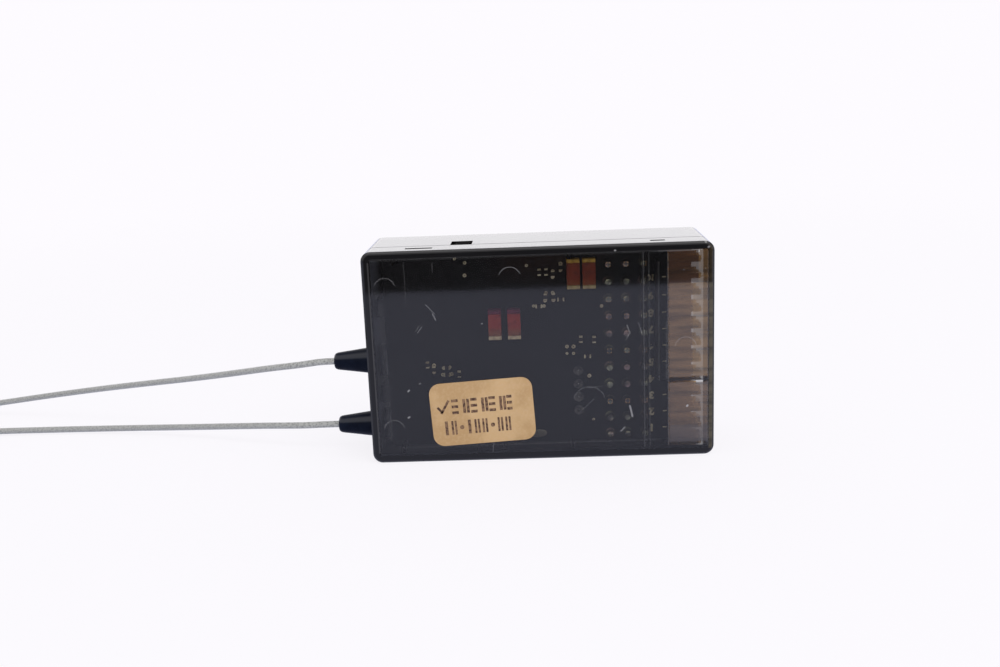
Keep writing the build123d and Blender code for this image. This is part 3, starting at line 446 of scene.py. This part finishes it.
def turned(name, profile, sides, closed):
    """A piece turned round Z from rings of height and radius. A closed one is a tube, the other one solid."""
    bpy.ops.object.select_all(action="DESELECT")
    height, radius = profile[0]
    end = "NOTHING" if closed else "NGON"
    place = (0, 0, height * mm)
    bpy.ops.mesh.primitive_circle_add(vertices=sides, radius=radius * mm, location=place, fill_type=end)
    bpy.ops.object.transform_apply(location=True, rotation=True, scale=True)
    piece = bpy.context.view_layer.objects.active
    piece.name = name
    bpy.ops.object.mode_set(mode="EDIT")
    bpy.ops.mesh.select_all(action="SELECT")
    for (h0, r0), (h1, r1) in zip(profile, profile[1:] + (profile[:1] if closed else [])):
        bpy.ops.mesh.extrude_region_move(TRANSFORM_OT_translate={"value": (0, 0, (h1 - h0) * mm)})
        bpy.ops.transform.resize(value=(r1 / r0, r1 / r0, 1), center_override=(0, 0, h1 * mm))
    bpy.ops.mesh.select_all(action="SELECT")
    bpy.ops.mesh.remove_doubles(threshold=0.002 * mm)
    bpy.ops.mesh.normals_make_consistent(inside=False)
    bpy.ops.object.mode_set(mode="OBJECT")
    bpy.ops.object.shade_smooth_by_angle(angle=math.radians(40))
    return piece


def joined(pieces):
    """Several pieces as one mesh."""
    bpy.ops.object.select_all(action="DESELECT")
    for piece in pieces:
        piece.select_set(True)
    bpy.context.view_layer.objects.active = pieces[0]
    bpy.ops.object.join()
    return bpy.context.view_layer.objects.active


def facing_cover(x, y, z):
    """The place of a piece that was modelled lying flat and is turned up to face the cover."""
    return Matrix.Translation((x * mm, y * mm, z * mm)) @ Matrix.Rotation(math.radians(90), 4, "X")


def spun(degrees):
    """A turn in a flat piece's own plane."""
    return Matrix.Rotation(math.radians(degrees), 4, "Z")


def laid_out(piece, places):
    """Copies of one piece on the cover side of the board, each with its own mesh, joined as one.
    A place is X, Z, turn in degrees and size."""
    copies = []
    for x, z, turn, size in places:
        copy = piece.copy()
        copy.data = piece.data.copy()
        copy.data.transform(facing_cover(x, board_y, z) @ spun(turn) @ Matrix.Scale(size, 4))
        bpy.context.scene.collection.objects.link(copy)
        copies.append(copy)
    name = piece.name
    bpy.data.objects.remove(piece)
    whole = joined(copies) if len(copies) > 1 else copies[0]
    whole.name = name
    return whole


def finish_piece(piece, finish, slot, *replaced):
    """Gives a new piece its material and body, and hides the nodes that it stands for. Its slot is not used.
    """
    piece.data.materials.clear()
    piece.data.materials.append(finish)
    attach(piece, "receiver")
    if replaced:
        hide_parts(*replaced)


solder = plated("solder", (0.30, 0.28, 0.23, 1), (0.52, 0.49, 0.42, 1), 0.22)
via_tin = plated("via_tin", (0.48, 0.38, 0.22, 1), (0.92, 0.82, 0.56, 1), 0.3, 0.35)
# Vias and small pads by X and Z, each with a turn and size of its own
via_places = [
    (0.29, 26.89), (1.3, 26.92), (2.25, 26.96), (2.22, 26.09), (3.4, 28.0), (3.37, 26.97), (1.21, 23.83),
    (2.16, 23.8), (1.03, 22.67), (2.25, 22.71), (3.26, 22.78), (-0.66, 21.92), (0.86, 21.87), (4.04, 15.71),
    (4.99, 15.68), (4.01, 14.69), (4.99, 14.66), (6.99, 14.22), (-16.53, 13.31), (-15.58, 13.48),
    (-15.64, 12.36), (-14.23, 13.04), (-13.26, 13.13), (-14.34, 12.04), (-13.04, 12.09), (-11.88, 12.1),
    (-11.81, 29.22), (-10.37, 28.58), (-10.46, 26.75), (7.2, 11.2), (7.7, 4.5), (-1.5, 27.9), (9.2, 21.6),
]
via_rings = [(-0.01, 0.06), (-0.01, 0.27), (0.035, 0.25), (0.04, 0.09)]
via = turned("board_vias", via_rings, 14, True)
board_vias = laid_out(via, [(x, z, 25 * i, 0.8 + 0.09 * (i % 5)) for i, (x, z) in enumerate(via_places)])
finish_piece(board_vias, via_tin, "solder")

# Ringed pads round the four service holes, nearly closed by their solder
pad_rings = [(-0.01, 0.08), (-0.01, 0.74), (0.03, 0.72), (0.05, 0.5), (0.025, 0.4), (0.02, 0.1)]
ringed = turned("service_pads", pad_rings, 28, True)
pad_tin = plated("pad_tin", (0.015, 0.014, 0.015, 1), (0.14, 0.13, 0.12, 1), 0.5, 0.2, 1500.0)
pad_x = 5.6
pad_heights = (12.0, 10.0, 8.0, 6.0)
service_pads = laid_out(ringed, [(pad_x, z, 40 * z, 1.0) for z in pad_heights])
finish_piece(service_pads, pad_tin, "solder")


def as_mesh(piece):
    """Turns a text or a curve into a mesh."""
    bpy.ops.object.select_all(action="DESELECT")
    piece.select_set(True)
    bpy.context.view_layer.objects.active = piece
    bpy.ops.object.convert(target="MESH")
    return bpy.context.view_layer.objects.active


# Printed channel numbers, upside down beside the sockets, each with a dash
label_heights = (3.0, 5.5, 8.0, 10.5, 13.05, 15.5, 17.95, 20.4, 22.95, 25.6)
number_x = 16.28
dash_x = 18.2
dash_size = (0.62, 0.20)
dash_lift = 0.015
ink_depth = 0.012
print_ink, tree, shader, vector = new_finish("screen_print", 0.7)
worn = step_up(tree, noise(tree, vector, 1600.0, 3.0), 0.25, 0.5)
paint(tree, shader, worn, (0.34, 0.27, 0.15, 1), (0.95, 0.83, 0.56, 1))
labels = []
for number, z in enumerate(label_heights, 1):
    text = bpy.data.curves.new(f"number_{number}", "FONT")
    text.body = str(number)
    text.size = (1.45 if number < 10 else 1.2) * mm
    text.extrude = ink_depth * mm
    text.offset = 0.08 * mm
    text.align_x = "CENTER"
    text.align_y = "CENTER"
    digit = as_mesh(new_object(f"number_{number}", text))
    digit.data.transform(facing_cover(number_x, board_y - ink_depth, z) @ spun(180))
    labels.append(digit)
for z in label_heights:
    bpy.ops.object.select_all(action="DESELECT")
    bpy.ops.mesh.primitive_plane_add(size=mm)
    dash = bpy.context.view_layer.objects.active
    bpy.ops.object.mode_set(mode="EDIT")
    bpy.ops.transform.resize(value=(*dash_size, 1))
    bpy.ops.mesh.bevel(offset=0.06 * mm, offset_type="OFFSET", segments=3, affect="VERTICES")
    bpy.ops.object.mode_set(mode="OBJECT")
    dash.data.transform(facing_cover(dash_x, board_y - dash_lift, z))
    labels.append(dash)
channel_numbers = joined(labels)
channel_numbers.name = "channel_numbers"
finish_piece(channel_numbers, print_ink, "circuit_board")

# Patch of clear glue by the lower edge, about twice as long as it is high
glue_rings = [(-0.01, 1.0), (0.05, 0.98), (0.14, 0.80), (0.19, 0.45), (0.20, 0.05)]
glue = turned("glue_patch", glue_rings, 32, False)
glue.data.transform(Matrix.Diagonal((1.28, 0.62, 1.0, 1.0)))
glue_patch = laid_out(glue, [(-0.5, 2.55, 4, 1.0)])
glue_finish, tree, shader, vector = new_finish("dried_glue", 0.35)
cloud = noise(tree, vector, 900.0, 3.0)
paint(tree, shader, cloud, (0.100, 0.085, 0.060, 1), (0.270, 0.235, 0.170, 1))
relief(tree, shader, cloud, 0.3, 0.03)
finish_piece(glue_patch, glue_finish, "circuit_board")


# Servo pins: gold plated square wire in three levels, bent through the board,
# held by two black header blocks and soldered on the side that faces the cover.
gold = plated("gold_plate", (0.50, 0.27, 0.09, 1), (0.78, 0.50, 0.20, 1), 0.25)
for name in ("signal_pins", "power_pins", "ground_pins"):
    dress(name, gold)

pin_columns = (10.16, 12.7, 15.24)
pin_rows = 11
pin_pitch = 2.54
lowest_row = 2.4
joint_rings = [
    (-0.01, 0.80), (0.06, 0.78), (0.16, 0.68), (0.32, 0.58), (0.60, 0.51), (0.90, 0.48), (1.01, 0.45),
    (1.06, 0.34), (1.08, 0.18), (1.085, 0.04),
]
joint = turned("solder_joints", joint_rings, 20, False)
# No two joints are quite alike in their turn and size
joint_places = []
for column, x in enumerate(pin_columns):
    for row in range(pin_rows):
        index = pin_rows * column + row
        z = lowest_row + pin_pitch * row
        joint_places.append((x, z, 47 * index, 0.97 + 0.03 * math.sin(2.3 * index)))
solder_joints = laid_out(joint, joint_places)
joint_solder, tree, shader, vector = new_finish("joint_solder", 0.2)
flux = step_up(tree, noise(tree, vector, 330.0, 0.0), 0.42, 0.58)
flux = blend(tree, flux, (0.62, 0.42, 0.38, 1), (0.60, 0.60, 0.40, 1))
mottle = noise(tree, vector, 700.0, 3.0)
paint(tree, shader, step_up(tree, mottle, 0.38, 0.62), (0.09, 0.083, 0.076, 1), flux)
relief(tree, shader, mottle, 0.3, 0.03)
shader.inputs["Metallic"].default_value = 0.8
finish_piece(solder_joints, joint_solder, "solder", "pin_solder_joints")


def moulded(name, dark, light, roughness, level=0.5):
    """Moulded plastic or ceramic with a fine grain."""
    finish, tree, shader, vector = new_finish(name, roughness)
    grain = noise(tree, vector, 3000.0, 4.0)
    paint(tree, shader, step_up(tree, grain, 0.3, 0.7), dark, light)
    tree.links.new(plus(tree, times(tree, grain, 0.12), roughness), shader.inputs["Roughness"])
    relief(tree, shader, grain, 0.3, 0.01)
    shader.inputs["Specular IOR Level"].default_value = level
    return finish


block_black = moulded("header_nylon", (0.010, 0.009, 0.009, 1), (0.020, 0.018, 0.017, 1), 0.5)
for name in ("upper_header_block", "lower_header_block"):
    dress(name, block_black)


# Parts soldered to the board: ceramic capacitors and chips with tinned ends, the
# controller, the shield can over the radio chips, crystal, regulator and lamp.


def ceramic(name, top, middle, low, split, roughness=0.35):
    """Ceramic or plating whose colour changes from its lower to its upper end. Split gives the heights of
    the two changes and how soft they are."""
    finish, tree, shader, vector = new_finish(name, roughness)
    _, _, z = parts_of(tree, vector)
    mottle = noise(tree, vector, 1500.0, 3.0)
    lower, upper, soft = split
    colour = blend(tree, step_up(tree, z, (lower - soft) * mm, (lower + soft) * mm), low, middle)
    colour = blend(tree, step_up(tree, z, (upper - soft) * mm, (upper + soft) * mm), colour, top)
    shade = tree.nodes.new("ShaderNodeMix")
    shade.data_type = "RGBA"
    shade.blend_type = "MULTIPLY"
    shade.inputs["Factor"].default_value = 0.7
    tree.links.new(colour, shade.inputs["A"])
    stain = blend(tree, step_up(tree, mottle, 0.25, 0.6), (0.35, 0.3, 0.3, 1), (1, 1, 1, 1))
    tree.links.new(stain, shade.inputs["B"])
    tree.links.new(shade.outputs["Result"], shader.inputs["Base Color"])
    relief(tree, shader, mottle, 0.25, 0.02)
    return finish


amber_ceramic = ceramic(
    "amber_ceramic", (0.36, 0.060, 0.001, 1), (0.32, 0.036, 0.001, 1), (0.34, 0.075, 0.006, 1),
    (25.6, 28.1, 0.5),
)
amber_ends = ceramic(
    "amber_ends", (0.95, 0.56, 0.09, 1), (0.50, 0.30, 0.09, 1), (0.62, 0.46, 0.19, 1),
    (25.2, 27.0, 0.3), 0.25,
)
red_ceramic = ceramic(
    "red_ceramic", (0.46, 0.012, 0.016, 1), (0.50, 0.042, 0.018, 1), (0.34, 0.130, 0.060, 1),
    (18.6, 21.0, 0.9),
)
red_ends = ceramic(
    "red_ends", (0.22, 0.004, 0.060, 1), (0.40, 0.25, 0.16, 1), (0.95, 0.74, 0.50, 1),
    (18.3, 20.0, 0.3), 0.3,
)
dress("upper_capacitor_bodies", amber_ceramic)
dress("upper_capacitor_ends", amber_ends)
dress("lower_capacitor_bodies", red_ceramic)
dress("lower_capacitor_ends", red_ends)
chip_ceramic = moulded("chip_ceramic", (0.012, 0.009, 0.008, 1), (0.030, 0.020, 0.014, 1), 0.4, 0.2)
dress("front_chip_bodies", chip_ceramic)
dress("rear_chip_bodies", moulded("brown_ceramic", (0.10, 0.06, 0.04, 1), (0.20, 0.12, 0.07, 1), 0.4))
dress("front_chip_ends", via_tin)
for name in ("rear_chip_ends", "microcontroller_legs", "regulator_legs"):
    dress(name, solder)
tin = plated("tin_plate", (0.42, 0.42, 0.41, 1), (0.60, 0.60, 0.59, 1), 0.28, 0.8, 400.0)
for name in ("radio_shield_can", "crystal_can", "upper_lead_clip", "lower_lead_clip"):
    dress(name, tin)
package = moulded("package_black", (0.012, 0.012, 0.013, 1), (0.022, 0.022, 0.023, 1), 0.45)
for name in ("microcontroller", "radio_chip", "antenna_switch_chip", "voltage_regulator"):
    dress(name, package)
dress("status_light", moulded("lamp_lens", (0.70, 0.70, 0.62, 1), (0.86, 0.86, 0.78, 1), 0.15))


# Bind switch: a small moulded switch at the edge of the board. Its pale button
# stands under the slot in the top and rides on a body of its own.
dress("bind_switch_case", moulded("switch_nylon", (0.020, 0.020, 0.021, 1), (0.036, 0.036, 0.037, 1), 0.5))
dress("bind_button", moulded("button_plastic", (0.60, 0.58, 0.54, 1), (0.72, 0.70, 0.66, 1), 0.4))


# Inspection sticker: uncoated buff paper with rounded corners, stuck on a little
# askew. Its print is generic: a tick, bars and dots in two rows.
sticker_spot = facing_cover(-8.5, -outside_y, 7.45) @ spun(3.2)
paper_size = (14.9, 9.4)
paper_corner = 1.6
# Heights above the cover
paper_low = 0.004
paper_top = 0.088
ink_low = 0.086
ink_top = 0.097


def flat_shape(u, v, width, height, lean, corner, low, high):
    """A thin flat shape with rounded corners on the sticker, between two heights above the cover."""
    bpy.ops.object.select_all(action="DESELECT")
    bpy.ops.mesh.primitive_plane_add(size=mm, location=(0, 0, low * mm))
    shape = bpy.context.view_layer.objects.active
    shape.scale = (width, height, 1)
    bpy.ops.object.transform_apply(location=True, rotation=True, scale=True)
    bpy.ops.object.mode_set(mode="EDIT")
    bpy.ops.mesh.select_all(action="SELECT")
    bpy.ops.mesh.bevel(offset=corner * mm, offset_type="OFFSET", segments=6, affect="VERTICES")
    bpy.ops.mesh.select_all(action="SELECT")
    bpy.ops.mesh.extrude_region_move(TRANSFORM_OT_translate={"value": (0, 0, (high - low) * mm)})
    bpy.ops.mesh.select_all(action="SELECT")
    bpy.ops.mesh.normals_make_consistent(inside=False)
    bpy.ops.object.mode_set(mode="OBJECT")
    shape.data.transform(Matrix.Translation((u * mm, v * mm, 0)) @ spun(lean))
    return shape


paper = flat_shape(0, 0, *paper_size, 0, paper_corner, paper_low, paper_top)
paper.name = "paper_sticker"
paper.data.transform(sticker_spot)
paper_finish, tree, shader, vector = new_finish("buff_paper", 0.8)
fibre = noise(tree, vector, 2600.0, 5.0)
stain = noise(tree, vector, 220.0, 3.0)
colour = blend(tree, step_up(tree, stain, 0.35, 0.65), (0.53, 0.335, 0.165, 1), (0.64, 0.425, 0.225, 1))
paint(tree, shader, times(tree, step_up(tree, fibre, 0.45, 0.65), 0.25), colour, (0.66, 0.47, 0.30, 1))
relief(tree, shader, fibre, 0.3, 0.02)
shader.inputs["Specular IOR Level"].default_value = 0.3
finish_piece(paper, paper_finish, "sticker_paper", "inspection_sticker")


def print_bar(u, v, width, height, lean=0, corner=0.05):
    """One bar of the print, which rises a hair above the paper."""
    return flat_shape(u, v, width, height, lean, corner, ink_low, ink_top)


# The print: first a tick, and then signs by their middle and width. A narrow sign is a bar, and a wide one
# is three dashes over each other.
upper_row = [
    (-3.9, 0.95), (-2.55, 0.32), (-2.0, 0.32), (-1.15, 0.95), (0.15, 0.32), (0.7, 0.32), (1.5, 0.95),
    (2.75, 0.32), (3.3, 0.32), (4.0, 0.75),
]
print_bars = [print_bar(-6.1, 0.75, 0.34, 1.1, 38, 0.06), print_bar(-5.35, 1.15, 0.34, 2.3, -32, 0.06)]
for u, width in upper_row:
    if width < 0.5:
        print_bars.append(print_bar(u, 1.1, width + 0.08, 2.1))
    else:
        for v in (0.2, 1.1, 2.0):
            print_bars.append(print_bar(u, v, width, 0.42))
# The lower row holds dots, broad bars and pairs of thin bars
lower_v = -2.05
for i in range(9):
    u = -5.4 + 1.12 * i
    if i in (2, 6):
        print_bars.append(print_bar(u, lower_v, 0.6, 0.6, 0, 0.25))
    elif i % 3 == 0:
        print_bars.append(print_bar(u, lower_v, 0.42, 2.1))
    else:
        for shift in (-0.24, 0.24):
            print_bars.append(print_bar(u + shift, lower_v, 0.30, 2.1))
sticker_print = joined(print_bars)
sticker_print.name = "sticker_print"
sticker_print.data.transform(sticker_spot)
stamp_ink, tree, shader, vector = new_finish("stamp_ink", 0.75)
patchy = step_up(tree, noise(tree, vector, 2200.0, 4.0), 0.38, 0.62)
paint(tree, shader, patchy, (0.075, 0.036, 0.024, 1), (0.26, 0.15, 0.085, 1))
finish_piece(sticker_print, stamp_ink, "sticker_paper")


# Antenna boots: moulded rubber sleeves that taper from the case to a rounded
# tip. A neck sits in the slot of the wall and a flange behind it holds them.
case_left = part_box("main_housing")[0][0] / mm
antenna_heights = {"upper": 13.75, "lower": 3.85}
# Distance from the outside of the wall and radius, from the tip to the flange
boot_rings = [
    (-6.00, 0.56), (-6.00, 0.86), (-5.95, 1.02), (-5.80, 1.17), (-5.55, 1.28), (-5.20, 1.34),
    (-3.60, 1.55), (-1.90, 1.78), (-0.60, 1.96), (-0.16, 2.01), (-0.06, 1.96), (-0.05, 1.66),
    (1.15, 1.66), (1.15, 2.42), (1.20, 2.45), (2.00, 2.45), (2.05, 2.40), (2.05, 0.56),
]
rubber, tree, shader, vector = new_finish("boot_rubber", 0.4)
cloud = noise(tree, vector, 600.0, 6.0)
mottle = step_up(tree, cloud, 0.3, 0.75)
paint(tree, shader, mottle, (0.0022, 0.0042, 0.0130, 1), (0.0050, 0.0085, 0.0210, 1))
tree.links.new(plus(tree, times(tree, cloud, 0.14), 0.30), shader.inputs["Roughness"])
relief(tree, shader, noise(tree, vector, 5000.0), 0.25, 0.02)
shader.inputs["Specular IOR Level"].default_value = 0.07
# A painted sheen: only the upper flank, where the surface faces partly up, gets a coat, which paints a
# highlight band along it
_, _, up = parts_of(tree, tree.nodes.new("ShaderNodeTexCoord").outputs["Normal"])
painted_sheen = times(tree, step_up(tree, up, 0.30, 0.52), step_up(tree, up, 0.88, 0.68))
tree.links.new(times(tree, painted_sheen, 0.85), shader.inputs["Coat Weight"])
shader.inputs["Coat Roughness"].default_value = 0.28
for side, z in antenna_heights.items():
    boot = turned(f"{side}_boot", boot_rings, 48, True)
    spot = Matrix.Translation((case_left * mm, 0, z * mm)) @ Matrix.Rotation(math.radians(90), 4, "Y")
    boot.data.transform(spot)
    finish_piece(boot, rubber, "boot_rubber", f"{side}_antenna_boot")


# Antenna cables: two thin coaxial leads with a fine silver braid under a clear
# jacket. Each runs out of its boot, sinks to the desk and ends in a tied coil.
coax_d = 1.0
coil_z = 0.8
upper_route = [
    (-30.8, 0.0, 13.75),
    (-33.0, 0.0, 13.75),
    (-36.0, 0.8, 13.15),
    (-41.4, 2.6, 12.3),
    (-48.3, 5.8, 10.8),
    (-56.3, 9.8, 9.1),
    (-65.2, 14.0, 7.4),
    (-74.5, 17.8, 5.7),
    (-84.8, 21.0, 3.9),
    (-94.1, 23.2, 2.3),
    (-101.5, 24.4, 1.2),
    (-106.8, 24.7, 0.8),
    (-110.0, 24.7, 0.8),
]
lower_route = [
    (-30.8, 0.0, 3.85),
    (-33.2, 0.0, 3.85),
    (-36.6, 0.7, 3.55),
    (-42.5, 2.6, 3.1),
    (-49.6, 5.2, 2.35),
    (-57.6, 8.0, 1.55),
    (-65.9, 10.1, 1.0),
    (-74.0, 11.3, 0.7),
    (-81.9, 11.7, 0.62),
    (-88.4, 11.5, 0.7),
    (-93.0, 11.1, 0.8),
    (-96.0, 11.1, 0.8),
]


def coil_points(centre_x, centre_y, turns):
    """The turns that lie flat beside each other, from the outer one to the inner one. A little after its
    first half turn the cable winds in."""
    steps = 16
    outer = 6.0
    inner = 5.0
    winds_in = 0.55
    points = []
    for i in range(1, int(turns * steps) + 1):
        share = i / steps
        angle = math.radians(90) + 2 * math.pi * share
        radius = outer - (outer - inner) * min(1.0, max(0.0, (share - winds_in) / (1.0 - winds_in)))
        points.append((centre_x + radius * math.cos(angle), centre_y + radius * math.sin(angle), coil_z))
    return points


def cable_curve(name, points, radius):
    """A smooth NURBS cable through its control points, in millimetres."""
    data = bpy.data.curves.new(name, "CURVE")
    data.dimensions = "3D"
    data.bevel_depth = radius * mm
    data.bevel_resolution = 5
    data.resolution_u = 10
    data.use_fill_caps = True
    spline = data.splines.new("NURBS")
    spline.points.add(len(points) - 1)
    for point, (x, y, z) in zip(spline.points, points):
        point.co = (x * mm, y * mm, z * mm, 1.0)
    spline.order_u = 3
    spline.use_endpoint_u = True
    return new_object(name, data)


# The middles of the two coils
upper_coil = (-114.0, 18.7)
lower_coil = (-100.0, 5.1)
upper_cable = cable_curve("upper_cable", upper_route + coil_points(*upper_coil, 1.5), coax_d / 2)
lower_cable = cable_curve("lower_cable", lower_route + coil_points(*lower_coil, 1.83), coax_d / 2)

# Near the boots the braid gets a stronger contrast, a painted glitter, and further along it looks even
coax, tree, shader, vector = new_finish("coax_braid", 0.34)
strands = tree.nodes.new("ShaderNodeTexVoronoi")
strands.inputs["Scale"].default_value = 3400.0
tree.links.new(vector, strands.inputs["Vector"])
weave = step_up(tree, strands.outputs["Distance"], 0.15, 0.65)
even = blend(tree, weave, (0.27, 0.27, 0.26, 1), (0.38, 0.38, 0.365, 1))
painted_glitter = blend(tree, weave, (0.21, 0.21, 0.20, 1), (0.44, 0.44, 0.42, 1))
near = step_up(tree, parts_of(tree, vector)["X"], -48.0 * mm, -33.0 * mm)
tree.links.new(blend(tree, near, even, painted_glitter), shader.inputs["Base Color"])
relief(tree, shader, strands.outputs["Distance"], 0.35, 0.05)
shader.inputs["Metallic"].default_value = 0.15
shader.inputs["Coat Weight"].default_value = 0.5
shader.inputs["Coat Roughness"].default_value = 0.12
for cable in (upper_cable, lower_cable):
    cable.data.materials.append(coax)
    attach(cable, "receiver")
for side in ("upper", "lower"):
    dress(f"{side}_antenna_lead", coax)
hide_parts("upper_antenna_cable", "upper_antenna_coil")
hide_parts("lower_antenna_cable", "lower_antenna_coil")


# Bare tips and ties: the last 27 mm of each antenna has no screen and lies on
# its coil, under the flat nylon band that ties the turns together.
tip_d = 0.5
tip_turn = 5.5
tip_z = 1.58


def bare_tip(name, coil, start):
    """The thin unscreened end, laid round the top of the coil."""
    arc = 281
    steps = 20
    points = []
    for i in range(steps + 1):
        angle = math.radians(start + arc * i / steps)
        points.append((coil[0] + tip_turn * math.cos(angle), coil[1] + tip_turn * math.sin(angle), tip_z))
    return as_mesh(cable_curve(name, points, tip_d / 2))


upper_tip = bare_tip("upper_tip", upper_coil, 305)
lower_tip = bare_tip("lower_tip", lower_coil, 65)
tip_sleeve = moulded("tip_sleeve", (0.56, 0.55, 0.52, 1), (0.72, 0.71, 0.68, 1), 0.35)
finish_piece(upper_tip, tip_sleeve, "tip_jacket", "upper_antenna_tip")
finish_piece(lower_tip, tip_sleeve, "tip_jacket", "lower_antenna_tip")

tie, tree, shader, vector = new_finish("tie_nylon", 0.45)
ribs = tree.nodes.new("ShaderNodeTexWave")
ribs.inputs["Scale"].default_value = 700.0
tree.links.new(vector, ribs.inputs["Vector"])
paint(tree, shader, ribs.outputs["Fac"], (0.012, 0.012, 0.013, 1), (0.030, 0.030, 0.032, 1))
relief(tree, shader, ribs.outputs["Fac"], 0.5, 0.04)
for side in ("upper", "lower"):
    dress(f"{side}_coil_tie", tie)


# Desk, backdrop and lights: a white sheet that runs on into a white backdrop,
# under soft daylight. A dark card out of view in front is there for the gloss.
white = (0.985, 0.965, 1.0, 1)


def rays_of(tree):
    """1 for a ray that shows the background to the camera, gloss or clear plastic, and 1 for gloss alone."""
    rays = tree.nodes.new("ShaderNodeLightPath").outputs
    seen = maths(tree, "MAXIMUM", rays["Is Camera Ray"], rays["Is Glossy Ray"])
    return maths(tree, "MAXIMUM", seen, rays["Is Transmission Ray"]), rays["Is Glossy Ray"]


def show_both(tree, share, first, second, output):
    """Mixes two shaders by a share and sends them to the output."""
    both = tree.nodes.new("ShaderNodeMixShader")
    tree.links.new(share, both.inputs["Fac"])
    tree.links.new(first.outputs[0], both.inputs[1])
    tree.links.new(second.outputs[0], both.inputs[2])
    tree.links.new(both.outputs[0], tree.nodes.new(output).inputs["Surface"])


sheet = bpy.data.materials.new("white_sheet")
sheet.use_nodes = True
tree = sheet.node_tree
tree.nodes.clear()
away = tree.nodes.new("ShaderNodeVectorMath")
away.operation = "LENGTH"
tree.links.new(tree.nodes.new("ShaderNodeTexCoord").outputs["Object"], away.inputs[0])
seen, in_gloss = rays_of(tree)
far = step_up(tree, away.outputs["Value"], 0.10, 0.40)
share = times(tree, seen, plus(tree, times(tree, far, 0.14), 0.86))
lit = tree.nodes.new("ShaderNodeBsdfDiffuse")
lit.inputs["Color"].default_value = (0.93, 0.92, 0.94, 1)
glow = tree.nodes.new("ShaderNodeEmission")
tree.links.new(blend(tree, in_gloss, white, (0.72, 0.745, 1.0, 1)), glow.inputs["Color"])
show_both(tree, share, lit, glow, "ShaderNodeOutputMaterial")

# The floor lies a hair under the receiver
bpy.ops.object.select_all(action="DESELECT")
bpy.ops.mesh.primitive_plane_add(size=6.0, location=(0, 0, -0.00002))
floor = bpy.context.view_layer.objects.active
floor.name = "floor"
floor.data.materials.append(sheet)

# The dark card, seen only in gloss, and how far its near edge is from the middle of the receiver
card_size = 1.0
card_gap = 0.139
bpy.ops.object.select_all(action="DESELECT")
bpy.ops.mesh.primitive_plane_add(size=card_size, location=(0, -card_size / 2 - card_gap, 0.0005))
dark_edge = bpy.context.view_layer.objects.active
dark_edge.name = "dark_edge"
dark, _, shader, _ = new_finish("dark_edge", 1.0)
shader.inputs["Base Color"].default_value = (0.01, 0.01, 0.012, 1)
dark_edge.data.materials.append(dark)
dark_edge.visible_camera = False
dark_edge.visible_diffuse = False
dark_edge.visible_transmission = False
dark_edge.visible_shadow = False

world = bpy.data.worlds.new("studio")
bpy.context.scene.world = world
world.use_nodes = True
tree = world.node_tree
tree.nodes.clear()
seen, _ = rays_of(tree)
ambient = tree.nodes.new("ShaderNodeBackground")
ambient.inputs["Color"].default_value = (0.95, 0.97, 1.0, 1)
ambient.inputs["Strength"].default_value = 0.75
backdrop = tree.nodes.new("ShaderNodeBackground")
backdrop.inputs["Color"].default_value = white
backdrop.inputs["Strength"].default_value = 1.0
show_both(tree, seen, ambient, backdrop, "ShaderNodeOutputWorld")


def soft_lamp(name, place, aim, size, power):
    """A soft box that points at the receiver."""
    data = bpy.data.lights.new(name, "AREA")
    data.shape = "RECTANGLE"
    data.size, data.size_y = size
    data.energy = power
    lamp = new_object(name, data)
    lamp.location = place
    lamp.rotation_euler = (Vector(aim) - Vector(place)).to_track_quat("-Z", "Y").to_euler()
    lamp.visible_camera = False


soft_lamp("window", (0.25, -0.35, 0.70), (0, 0, 0.015), (0.5, 0.5), 2.2)
soft_lamp("back_light", (0.0, 0.70, 0.23), (0, 0, 0.02), (1.3, 0.30), 0.5)
